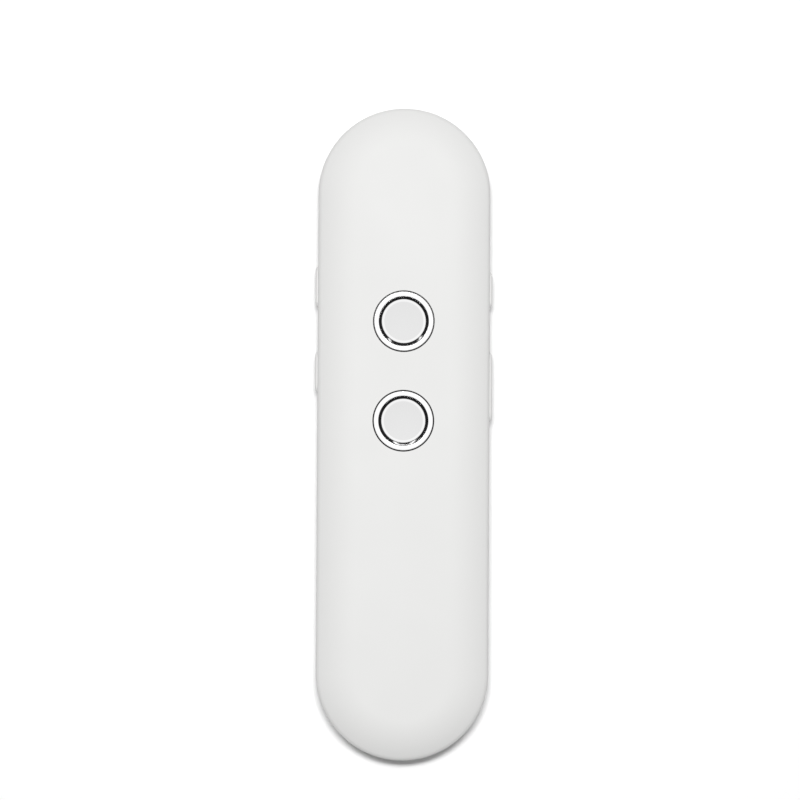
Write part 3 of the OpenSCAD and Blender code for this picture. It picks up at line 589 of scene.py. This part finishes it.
# Nickel silver, deep-drawn: pale and slightly yellow, with faint vertical draw lines.
drawn_can = worked_metal(
    "drawn_nickel_silver", ("#D9D5CB", "#C4BFB4"), (0.26, 0.38), 0.2 * MM, 0.001 * MM
)
dress(drawn_can, "top_microphone", "bottom_microphone")
# Black silicone rubber, compression moulded: dull, and a touch greyer where it is handled.
silicone_rubber = moulded_plastic(
    "black_silicone_rubber", ("#17171A", "#1F1F21"), (0.66, 0.78), 0.5 * MM, 0.006 * MM
)
dress(silicone_rubber, "top_mic_boot", "bottom_mic_boot")

# ---- Battery ------------------------------------------------------------------------------
# A lithium pouch cell stuck to the rear cover with double-sided tape. Its guard board is
# folded against its upper end, and two leads go to a plug in the main board's socket.

# Acrylic transfer tape: translucent amber, smooth, with a slight unevenness in the glue.
transfer_tape = moulded_plastic(
    "acrylic_transfer_tape", ("#D9B86E", "#CFAE63"), (0.24, 0.4), 3 * MM, 0.01 * MM
)
dress(transfer_tape, "battery_tape")
# Aluminium laminated with nylon: a satin silver bag with the soft dents of its vacuum sealing.
pouch_foil, shader, place = new_material("laminated_aluminium_foil", {"Metallic": 1})
dent_width = 7 * MM
dents = noise(pouch_foil, place, dent_width, 2, distortion=0.6)
work_surface(
    pouch_foil, shader, dents, ("#C9CACC", "#B7B9BC"), (0.34, 0.46), dents, 0.12 * MM
)
dress(pouch_foil, "battery_cell")

# Solder mask over copper: a green lacquer, paler and raised where tracks run under it, with
# tinned via pads. The real tracks are 0.15 mm wide and are drawn four times as wide.
solder_mask, shader, place = new_material("green_solder_mask", {"IOR": 1.5})
track_pitch, via_pitch, via_share = 1.4 * MM, 3.2 * MM, 0.1
track_scale = {"Scale": wave_scale(track_pitch), "Distortion": 2.5, "Detail": 0}
waves = add_node(solder_mask, "TexWave", track_scale, {"Vector": place}).outputs["Fac"]
track_edges = {"From Min": 0.5, "From Max": 0.62}
tracks = add_node(solder_mask, "MapRange", track_edges, {"Value": waves}).outputs["Result"]
work_surface(
    solder_mask, shader, tracks, ("#14532F", "#1E6E40"), (0.28, 0.36), tracks, 0.03 * MM
)
via_scale = {"Scale": 1 / via_pitch}
via_cells = add_node(solder_mask, "TexVoronoi", via_scale, {"Vector": place})
off_via = {0: via_cells.outputs["Distance"]}
vias = add_node(solder_mask, "Math", {1: via_share}, off_via, operation="LESS_THAN").outputs[0]
tin_over(solder_mask, shader, vias, "#C8C9C6")
dress(solder_mask, "battery_guard_board")

dress(red_insulation, "battery_lead_red")
black_insulation = moulded_plastic(
    "black_silicone_insulation", ("#161617", "#1F1F21"), (0.42, 0.52), 0.6 * MM, 0.004 * MM
)
dress(black_insulation, "battery_lead_black")
# Unfilled nylon: the warm white of a connector body, smooth with a waxy sheen.
ivory_nylon = moulded_plastic(
    "ivory_nylon", ("#EAE4D2", "#E2DBC6"), (0.34, 0.44), 0.8 * MM, 0.003 * MM
)
dress(ivory_nylon, "battery_plug", "battery_socket")

# ---- Charging port ------------------------------------------------------------------------
# The port in the bottom end: a shell folded from stainless steel, and a black nylon tongue
# with twelve gold-plated contacts on either face. It is soldered under the main board.

# Stainless strip, cold rolled: a grey mirror drawn out by rolling lines that run lengthwise.
rolled_stainless = worked_metal(
    "rolled_stainless_steel", ("#C6C5C2", "#B2B1AE"), (0.2, 0.34), 0.25 * MM, 0.0015 * MM
)
dress(rolled_stainless, "usb_shell", "clock_crystal")
# Black nylon from a polished tool: near black, with an even half-gloss.
black_nylon = moulded_plastic(
    "black_nylon", ("#19191B", "#212123"), (0.36, 0.48), 0.4 * MM, 0.003 * MM
)
dress(black_nylon, "usb_tongue")
# Hard gold over nickel: a slightly orange, low mirror with faint punching lines.
gold_plate = worked_metal(
    "hard_gold_plate", ("#E3B65A", "#D3A446"), (0.16, 0.26), 0.1 * MM, 0.0008 * MM
)
dress(gold_plate, "usb_contacts")

# ---- Main board ---------------------------------------------------------------------------
# One circuit board under the front cover carries all the electronics: a shielded processor
# and memory, the amplifier, the charger with its inductor, a chip antenna at the top end and
# the diodes that light the rings. It is a lacquered glass-fibre laminate.
dress(solder_mask, "main_board")
# Tinned steel can, stamped: bright grey, a little smeared by the tin's flow.
tin_plate = worked_metal(
    "tinned_steel", ("#CFD0D0", "#BFC1C2"), (0.26, 0.42), 0.8 * MM, 0.002 * MM
)
dress(tin_plate, "shield_can")
# Silica-filled epoxy: nearly black and even, with the fine dullness of the filler.
chip_resin = moulded_plastic(
    "filled_epoxy_resin", ("#1B1B1C", "#222224"), (0.56, 0.68), 0.25 * MM, 0.002 * MM
)
dress(chip_resin, "processor", "memory_chip", "audio_amplifier", "charger_chip")
# Pressed and fired ferrite: dark grey, faintly speckled, dull.
fired_ferrite = moulded_plastic(
    "fired_ferrite", ("#3C3B3A", "#2E2D2D"), (0.62, 0.78), 0.3 * MM, 0.006 * MM
)
dress(fired_ferrite, "power_inductor")
# White alumina with a thin glaze: cool white, with a soft edge to its highlights.
glazed_alumina = moulded_plastic(
    "glazed_alumina", ("#E9E9E6", "#DFDFDB"), (0.24, 0.36), 0.5 * MM, 0.002 * MM
)
dress(glazed_alumina, "radio_antenna")

# Fired ceramic capacitors: a tan body between two dipped tin ends, which take up what lies
# further than body_half from a whole millimetre, where each one has its middle.
capacitor_ceramic, shader, place = new_material("tin_ended_ceramic", {"IOR": 1.6})
body_half, speckle_width = 0.26, 0.2 * MM
speckles = noise(capacitor_ceramic, place, speckle_width, 2)
work_surface(
    capacitor_ceramic, shader, speckles, ("#A98F6B", "#927857"), (0.4, 0.5), speckles, 0.003 * MM
)
along = add_node(capacitor_ceramic, "SeparateXYZ", links={"Vector": place}).outputs["X"]
in_mm = add_node(capacitor_ceramic, "Math", {1: 1 / MM}, {0: along}, operation="MULTIPLY")
off_middle = add_node(
    capacitor_ceramic, "Math", {1: 0.5}, {0: in_mm.outputs[0]}, operation="PINGPONG"
)
ends = add_node(
    capacitor_ceramic, "Math", {1: body_half}, {0: off_middle.outputs[0]}, operation="GREATER_THAN"
).outputs[0]
tin_over(capacitor_ceramic, shader, ends, "#CDCECC")
dress(capacitor_ceramic, "small_capacitors")

# Clear diode resin over a yellow phosphor: pale straw, glossy, slightly milky.
diode_resin = moulded_plastic(
    "diode_resin", ("#EFE6B4", "#E6DA9A"), (0.12, 0.2), 0.4 * MM, 0.002 * MM
)
dress(diode_resin, "ring_leds")

# ---- Switches -----------------------------------------------------------------------------
# Seven tactile switches: a low one under each talk button and five side-acting ones under the
# board's edge. Each has a moulded housing and a plunger that slides in it.
SIDE_SWITCHES = ["left_upper", "left_lower", "power", "volume_up", "volume_down"]
for switch in ["upper_talk", "lower_talk", *SIDE_SWITCHES]:
    dress(black_nylon, switch + "_switch", switch + "_plunger")

# ---- Screws -------------------------------------------------------------------------------
# Six small pan-head screws, cold headed and thread rolled, that hold the board to the front
# cover's bosses. They are zinc plated and passivated.

# Zinc with a clear chromate: a cool grey with a bluish cast and a fine, uneven brightness.
zinc_plate = worked_metal(
    "zinc_plated_steel", ("#C3C8CE", "#AEB4BB"), (0.28, 0.42), 0.2 * MM, 0.002 * MM
)
dress(zinc_plate, "board_screws")

# ---- Front cover --------------------------------------------------------------------------
# The front half of the case, moulded from the same white ABS: a flat band down the middle, a
# gentle crown to either side and a rounder edge. Two holes take the talk buttons, six bosses
# under its face carry the board, and a rebate inside its rim takes the rear cover's tongue.
face_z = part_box("front_cover")[1].z
inner_z = face_z - wall
front_flat, front_crown, front_edge = 20 * MM, 15 * MM, 1.9 * MM
tongue_gap = 0.1 * MM
front_turn = math.degrees(
    math.asin((half_width - front_edge - front_flat / 2) / (front_crown - front_edge))
)
front_edge_x = half_width - front_edge
crown_z = face_z - front_crown
front_edge_z = crown_z + (front_crown - front_edge) * math.cos(math.radians(front_turn))
start_at(0, straight, face_z)
line_to(front_flat / 2, face_z)
arc_about(front_flat / 2, crown_z, front_turn, 24)
arc_about(front_edge_x, front_edge_z, 90 - front_turn, 16)
line_to(half_width, seam_z + seam_bevel)
line_to(half_width - seam_bevel, seam_z)
line_to(tongue_x + tongue_gap, seam_z)
line_to(tongue_x + tongue_gap, tongue_z + tongue_gap)
line_to(inner_x, tongue_z + tongue_gap)
line_to(inner_x, front_edge_z)
arc_about(front_edge_x, front_edge_z, front_turn - 90, 4)
arc_about(front_flat / 2, crown_z, -front_turn, 8)
line_to(0, inner_z)
carry_round_bar()
front_cover = leave_edit("front_cover_moulding")

# Screw bosses that stand on the board, each with a web towards the side wall.
BUTTONS = ["upper", "lower"]
button_y = {b: sum(corner.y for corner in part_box(b + "_bezel")) / 2 for b in BUTTONS}
upper_y = button_y["upper"]
board_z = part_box("main_board")[1].z
screw_low, screw_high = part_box("board_screws")
screw_head_r, boss_r, thread_r = 1.4 * MM, 1.9 * MM, 0.72 * MM
screw_x = screw_high.x - screw_head_r
screw_ys = [screw_low.y + screw_head_r, sum(button_y.values()) / 2, screw_high.y - screw_head_r]
screws_at = [Vector((side * screw_x, y, 0)) for side in (-1, 1) for y in screw_ys]
boss_root = 0.35 * wall  # how far the bosses reach into the face
boss_top, web_wall, web_foot = inner_z + boss_root, 0.8 * MM, 0.5 * MM
up = Vector((0, 0, 1))
boss_places = [(at + up * (board_z + boss_top) / 2, 0) for at in screws_at]
combine(front_cover, rods("bosses", boss_places, boss_r, boss_top - board_z), "UNION")
web_places = []
for at in screws_at:
    outwards = Vector((math.copysign(boss_r, at.x), 0, 0))
    middle = at + outwards + up * (board_z + web_foot + boss_top) / 2
    web_places.append((middle, (2 * boss_r, web_wall, boss_top - board_z - web_foot), 0))
combine(front_cover, blocks("webs", web_places), "UNION")
thread_depth = 2.1 * MM
thread_top = board_z + thread_depth
thread_places = [(at + up * (board_z + thread_top - wall) / 2, 0) for at in screws_at]
combine(front_cover, rods("threads", thread_places, thread_r, thread_top - board_z + wall))
snap_beads(front_cover, "DIFFERENCE", tongue_gap / 2)
open_side_walls(front_cover)

# The holes for the bezel rings, with a rounded rim.
TURN_STEPS = 120  # facets round a talk button
bezel_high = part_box("upper_bezel")[1]
bezel_r, bezel_top = bezel_high.x, bezel_high.z
bezel_gap = 0.28 * MM
hole_r, hole_rim = bezel_r + bezel_gap, 0.1 * MM
rim_turn = 84  # degrees: not quite level, so that the cutter crosses the face
for y in button_y.values():
    start_at(0, y, inner_z - wall)
    line_to(hole_r, inner_z - wall)
    line_to(hole_r, face_z - hole_rim)
    arc_about(hole_r + hole_rim, face_z - hole_rim, rim_turn, 5)
    line_to(pen().x, face_z + wall)
    line_to(0, face_z + wall)
    turn_about(0, y, TURN_STEPS)
    combine(front_cover, leave_edit("hole"))
smooth(front_cover)
front_cover.data.materials.append(satin_abs)
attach(front_cover, "bar")
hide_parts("front_cover")

# ---- Light rings --------------------------------------------------------------------------
# A smoked polycarbonate light guide in each button. Its rim shows as a thin dark ring that
# lights up from below, two legs reach the diodes, and its wide foot, glued under the cover,
# carries the bezel ring and shows as the dark floor of the joint round it.
guide_low, guide_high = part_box("upper_light_ring")
ring_top, leg_bottom, foot_r = guide_high.z, guide_low.z, guide_high.x
bezel_width, ring_gap, ring_width = 1 * MM, 0.05 * MM, 0.55 * MM
bezel_bore_r = bezel_r - bezel_width
ring_r = bezel_bore_r - ring_gap
ring_bore_r = ring_r - ring_width
ring_lip = 0.06 * MM
ring_tilt = math.radians(8.7)  # its rim falls towards the cap
foot_wall, leg_step = 0.5 * MM, 0.6 * MM
foot_z, leg_r = inner_z - foot_wall, ring_r + leg_step
leg_half_angle = 27


def copy_piece(piece, name, shift):
    """A second piece from the same tool, with a mesh of its own."""
    take(piece)
    bpy.ops.object.duplicate()
    bpy.ops.object.mode_set(mode="EDIT")
    bpy.ops.mesh.select_all(action="SELECT")
    bpy.ops.transform.translate(value=shift)
    return leave_edit(name)


def from_axis(place):
    """A place's distance from the upper button's axis."""
    return math.hypot(place.x, place.y - upper_y)


def within(part, facing, degrees):
    """True where a face lies within an angle of a direction, or of its opposite, as seen from
    the upper button's axis."""
    middle = part.calc_center_median()
    angle = math.degrees(math.atan2(middle.y - upper_y, middle.x)) - facing
    return abs((angle + 90) % 180 - 90) < degrees


start_at(ring_bore_r, upper_y, foot_z)
line_to(leg_r, foot_z)
line_to(foot_r, foot_z)
line_to(foot_r, inner_z)
line_to(ring_r, inner_z)
line_to(ring_r, ring_top - ring_lip)
arc_about(ring_r - ring_lip, ring_top - ring_lip, -90 - math.degrees(ring_tilt), 6)
lip_x, lip_z = ring_bore_r + ring_lip, ring_top - ring_lip
lip_z -= (ring_r - ring_lip - lip_x) * math.tan(ring_tilt)
line_to(lip_x - ring_lip * math.sin(ring_tilt), lip_z + ring_lip * math.cos(ring_tilt))
arc_about(lip_x, lip_z, math.degrees(ring_tilt) - 90, 5)
line_to(ring_bore_r, foot_z)
turn_about(0, upper_y, TURN_STEPS)
pick(
    "FACE",
    lambda f: f.calc_center_median().z < foot_z + TINY
    and all(from_axis(v.co) < leg_r + TINY for v in f.verts)
    and within(f, 90, leg_half_angle),
)
leg_drop = (0, 0, leg_bottom - foot_z)
bpy.ops.mesh.extrude_region_move(TRANSFORM_OT_translate={"value": leg_drop})
upper_guide = leave_edit("upper_light_guide")
smooth(upper_guide)
# Polycarbonate with a smoke tint: almost black while it is off, and as glossy as glass, with
# a slight waviness that breaks a light's reflection into dashes.
smoked_polycarbonate = moulded_plastic(
    "smoked_polycarbonate", ("#08080A", "#0C0C0E"), (0.04, 0.07), 1 * MM, 0.003 * MM, {"IOR": 1.58}
)
upper_guide.data.materials.append(smoked_polycarbonate)
button_step = Vector((0, button_y["lower"] - upper_y, 0))
lower_guide = copy_piece(upper_guide, "lower_light_guide", button_step)
for guide, node in ((upper_guide, "upper_light_ring"), (lower_guide, "lower_light_ring")):
    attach(guide, "bar")
    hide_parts(node)

# ---- Bezel rings --------------------------------------------------------------------------
# A trim ring in polished white PMMA round each talk button, glued to the light guide's foot.
# It is moulded in a mirror-finished tool, so it is whiter and glossier than the case.
outer_round, inner_round = 0.25 * MM, 0.12 * MM
slope_r, slope_drop = bezel_r - 0.5 * MM, 0.04 * MM  # where its face starts to dip, and how far
start_at(bezel_bore_r, upper_y, inner_z)
line_to(bezel_r, inner_z)
line_to(bezel_r, bezel_top - outer_round)
arc_about(bezel_r - outer_round, bezel_top - outer_round, -90, 8)
line_to(slope_r, bezel_top)
line_to(bezel_bore_r + inner_round, bezel_top - slope_drop)
arc_about(bezel_bore_r + inner_round, bezel_top - slope_drop - inner_round, -90, 4)
line_to(bezel_bore_r, inner_z)
turn_about(0, upper_y, TURN_STEPS)
upper_bezel = leave_edit("upper_bezel_ring")
smooth(upper_bezel)
# Acrylic, opaque white: the whitest plastic on the case, with a clear, sharp highlight.
gloss_white = moulded_plastic(
    "polished_white_pmma", ("#F8F8F8", "#F6F6F6"), (0.08, 0.12), 1.5 * MM, 0.0008 * MM
)
upper_bezel.data.materials.append(gloss_white)
lower_bezel = copy_piece(upper_bezel, "lower_bezel_ring", button_step)
for ring, node in ((upper_bezel, "upper_bezel"), (lower_bezel, "lower_bezel")):
    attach(ring, "bar")
    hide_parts(node)

# ---- Button caps --------------------------------------------------------------------------
# A pale grey ABS cap with a shallow finger dish in each button. It slides in the light ring;
# two ears under the ring's foot stop it from coming out, and a stem stands on the switch.
cap_low, cap_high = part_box("upper_button_cap")
cap_top, skirt_bottom, ear_r = cap_high.z, cap_low.z, cap_high.x
cap_gap, cap_round, cap_web = 0.06 * MM, 0.1 * MM, 0.8 * MM
dish_depth, dish_rim, skirt_wall = 0.25 * MM, 0.55 * MM, 0.7 * MM
cap_r = ring_bore_r - cap_gap
dish_r, skirt_r = cap_r - dish_rim, cap_r - skirt_wall
web_z = cap_top - dish_depth - cap_web
stem_r, stem_z = 1.2 * MM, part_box("upper_talk_plunger")[1].z
ear_height, ear_half_angle = 0.5 * MM, 24
ear_top = skirt_bottom + ear_height
dish_sphere = (dish_r**2 + dish_depth**2) / (2 * dish_depth)
dish_angle = math.degrees(math.asin(dish_r / dish_sphere))
start_at(0, upper_y, cap_top - dish_depth)
arc_about(0, cap_top - dish_depth + dish_sphere, -dish_angle, 10)
line_to(cap_r - cap_round, cap_top)
arc_about(cap_r - cap_round, cap_top - cap_round, 90, 8)
line_to(cap_r, ear_top)
line_to(cap_r, skirt_bottom)
line_to(skirt_r, skirt_bottom)
line_to(skirt_r, web_z)
line_to(stem_r, web_z)
line_to(stem_r, stem_z)
line_to(0, stem_z)
turn_about(0, upper_y, TURN_STEPS)
pick(
    "FACE",
    lambda f: skirt_bottom + TINY < f.calc_center_median().z < ear_top
    and from_axis(f.calc_center_median()) > (skirt_r + cap_r) / 2
    and within(f, 0, ear_half_angle),
)
bpy.ops.mesh.extrude_region_move()
spread = (ear_r / cap_r, ear_r / cap_r, 1)
bpy.ops.transform.resize(value=spread, center_override=(0, upper_y, 0))
upper_cap = leave_edit("upper_talk_cap")
smooth(upper_cap)
# Pale grey ABS with the case's satin grain, a shade darker than the case.
grey_abs = moulded_plastic(
    "pale_grey_abs",
    ("#D9D9D9", "#D7D7D7"),
    (0.6, 0.66),
    0.3 * MM,
    0.0006 * MM,
    {"Specular IOR Level": 0.3},
)
# The narrow flat round the dish: polished, so glossier than the cap, and painted a shade lighter than
# the cap as a highlight, for a bright, thin line.
rim_abs_painted_highlight = moulded_plastic(
    "polished_grey_abs_painted_highlight", ("#DDDDDD", "#DBDBDB"), (0.46, 0.5), 0.3 * MM, 0.0003 * MM
)
upper_cap.data.materials.append(grey_abs)
upper_cap.data.materials.append(rim_abs_painted_highlight)
bpy.ops.object.mode_set(mode="EDIT")
pick(
    "FACE",
    lambda f: f.calc_center_median().z > cap_top - 0.5 * cap_round
    and all(from_axis(v.co) > dish_r - TINY for v in f.verts),
)
# The rim's faces take the lighter slot, a painted highlight.
upper_cap.active_material_index = 1
bpy.ops.object.material_slot_assign()
leave_edit("upper_talk_cap")
lower_cap = copy_piece(upper_cap, "lower_talk_cap", button_step)
for cap, button in ((upper_cap, "upper"), (lower_cap, "lower")):
    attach(cap, button + "_button")
    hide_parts(button + "_button_cap")

# ---- Side keys ----------------------------------------------------------------------------
# Two like keys on the left edge, and a power key and a volume rocker on the right, moulded in
# the case's white ABS. Each slopes down to the wall at its upper end, the rocker at both, and
# has a flange behind the wall that keeps it in. A longer slope and a groove mark the power key.
key_shoulder = 0.1 * MM  # how deep in the wall a key's slopes and rim begin
shoulder_x = half_width - key_shoulder
# How far its ends lean in: a slope, the power key's long one and the steep foot of a short key.
key_slope, power_ramp, key_foot = 1.25 * MM, 2.35 * MM, 0.2 * MM
# The rim's height and breadth, and how much further an upper slope reaches at its start.
key_rim, rim_inset, key_nose, rim_steps = 0.6 * MM, 0.85 * MM, 0.35 * MM, 9
flange_wall, short_flange_gap, nub_r = 0.8 * MM, 0.1 * MM, 0.7 * MM


def side_key(node, flange_gap, nub_steps, lower_slope, upper_slope=key_slope):
    """Lofts one key outwards from its flange, level by level, and adds the nubs that press
    its plungers."""
    side, middle, length = key_place(node)
    low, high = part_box(node)
    outer_x, nub_x = max(abs(low.x), abs(high.x)), min(abs(low.x), abs(high.x))
    flange_x = inner_x - flange_gap
    radius, flange_radius = key_height / 2, (high.z - low.z) / 2
    flange_reach = length / 2 + flange_over_y - flange_radius
    reach = length / 2 - radius
    levels = [
        (flange_x - flange_wall, flange_radius, (flange_reach, flange_reach)),
        (flange_x, flange_radius, (flange_reach, flange_reach)),
        (flange_x, radius, (reach, reach)),
        (shoulder_x, radius, (reach, reach)),
    ]
    for i in range(1, rim_steps + 1):
        angle = math.pi / 2 * i / rim_steps
        x = outer_x - key_rim * (1 - math.sin(angle))
        inset = rim_inset * (1 - math.cos(angle))
        nose = key_nose * (1 - i / rim_steps)
        reaches = (reach - lower_slope, reach - upper_slope + nose)
        levels.append((x, radius - inset, reaches))
    levels = [(side * x, r, reaches) for x, r, reaches in levels]
    key = round_bar_piece(node + "_moulding", "X", levels, middle)
    nub_middle = (nub_x + flange_x - flange_wall / 2) / 2
    nub_at = [(middle + Vector((side * nub_middle, step, 0)), math.pi / 2) for step in nub_steps]
    nub_length = flange_x - flange_wall / 2 - nub_x
    combine(key, rods("nubs", nub_at, nub_r, nub_length, "Y", 32), "UNION")
    return key


left_upper_key = side_key("left_upper_key", short_flange_gap, [0], key_foot)
smooth(left_upper_key)
left_step = Vector((0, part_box("left_lower_key")[0].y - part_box("left_upper_key")[0].y, 0))

# The power key's groove, cut by a square bar on its edge.
power_key = side_key("power_key", short_flange_gap, [0], key_foot, power_ramp)
side, middle, length = key_place("power_key")
groove_depth, groove_half = 0.3 * MM, 0.24 * MM
groove_y = middle.y + length / 2 - power_ramp - 2 * groove_half
groove_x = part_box("power_key")[1].x
rods("groove", [((0, 0, middle.z), 0)], groove_depth, 2 * key_height, sides=4)
bpy.ops.object.mode_set(mode="EDIT")
widen = (1, groove_half / groove_depth, 1)
bpy.ops.transform.resize(value=widen, center_override=(0, 0, 0))
bpy.ops.transform.translate(value=(groove_x, groove_y, 0))
combine(power_key, leave_edit("groove"))
smooth(power_key)

# The rocker tilts on a half-round rib across its middle, between the pins of two switches.
rocker_low, rocker_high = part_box("volume_rocker")
rocker_gap, fulcrum_r = 0.35 * MM, 0.3 * MM
pins_y = [sum(corner.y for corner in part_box(f"volume_{way}_plunger")) / 2 for way in ("up", "down")]
rocker_y = (rocker_low.y + rocker_high.y) / 2
pin_steps = [y - rocker_y for y in pins_y]
volume_rocker = side_key("volume_rocker", rocker_gap, pin_steps, key_slope)
fulcrum_at = Vector((inner_x - rocker_gap, rocker_y, (rocker_low.z + rocker_high.z) / 2))
fulcrum_height = rocker_high.z - rocker_low.z - 2 * TINY
fulcrum = rods("fulcrum", [(fulcrum_at, 0)], fulcrum_r, fulcrum_height, sides=32)
combine(volume_rocker, fulcrum, "UNION")
smooth(volume_rocker)

for key in (left_upper_key, power_key, volume_rocker):
    key.data.materials.append(satin_abs)
left_lower_key = copy_piece(left_upper_key, "left_lower_key_moulding", left_step)
key_bodies = {
    "left_upper_key": (left_upper_key, "left_upper_button"),
    "left_lower_key": (left_lower_key, "left_lower_button"),
    "power_key": (power_key, "power_button"),
    "volume_rocker": (volume_rocker, "rocker"),
}
for node, (key, body) in key_bodies.items():
    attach(key, body)
    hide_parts(node)

# ---- Table, light and camera --------------------------------------------------------------
# The bar lies on a seamless white sweep under a large softbox. A narrow strip light stands
# beyond its top end and draws small bright breaks in the dark light rings, and an even white
# surround fills the shadows.
bpy.ops.object.select_all(action="DESELECT")
sweep_half, sweep_drop = 1.5, 0.01 * MM
bpy.ops.mesh.primitive_plane_add(size=2 * sweep_half)
bpy.ops.object.mode_set(mode="EDIT")
bpy.ops.transform.translate(value=(0, 0, cad_low.z - sweep_drop))
sweep = leave_edit("white_sweep")
# Matt white paper, with the faint cloudiness of its pulp.
sweep_paper, shader, place = new_material("white_sweep_paper", {"Specular IOR Level": 0})
cloud_width = 9 * MM
clouds = noise(sweep_paper, place, cloud_width, 2)
work_surface(
    sweep_paper, shader, clouds, ("#FAFAFA", "#F9F9F9"), (0.9, 0.95), clouds, 0.001 * MM
)
sweep.data.materials.append(sweep_paper)

scene = bpy.context.scene
scene.view_settings.view_transform = "Standard"
world = bpy.data.worlds.new("white_surround")
scene.world = world
world.use_nodes = True
world.node_tree.nodes["Background"].inputs["Color"].default_value = (1, 1, 1, 1)
world.node_tree.nodes["Background"].inputs["Strength"].default_value = 0.2

for name, (size, size_y), energy, location in (
    ("softbox", (0.3, 0.12), 8.85, (-0.01, 0.163, 1)),
    ("strip_light", (0.443, 0.021), 0.73, (-0.0185, 0.301, 1)),
):
    light = bpy.data.lights.new(name, "AREA")
    light.shape = "RECTANGLE"
    light.size, light.size_y, light.energy = size, size_y, energy
    lamp = bpy.data.objects.new(name, light)
    scene.collection.objects.link(lamp)
    lamp.location = location
    lamp.rotation_mode = "QUATERNION"
    lamp.rotation_quaternion = lamp.location.to_track_quat("Z", "Y")

aim = Vector((-0.75, 7.5, 6)) * MM
camera_distance, elevation, roll = 0.7, math.radians(88.5), math.radians(0.3)
back = Vector((0, -math.cos(elevation), math.sin(elevation)))
camera_data = bpy.data.cameras.new("camera")
camera_data.sensor_width, camera_data.lens = 36, 142.2
camera = bpy.data.objects.new("camera", camera_data)
scene.collection.objects.link(camera)
scene.camera = camera
camera.location = aim + back * camera_distance
camera.rotation_mode = "QUATERNION"
camera.rotation_quaternion = back.to_track_quat("Z", "Y") @ Quaternion((0, 0, 1), roll)
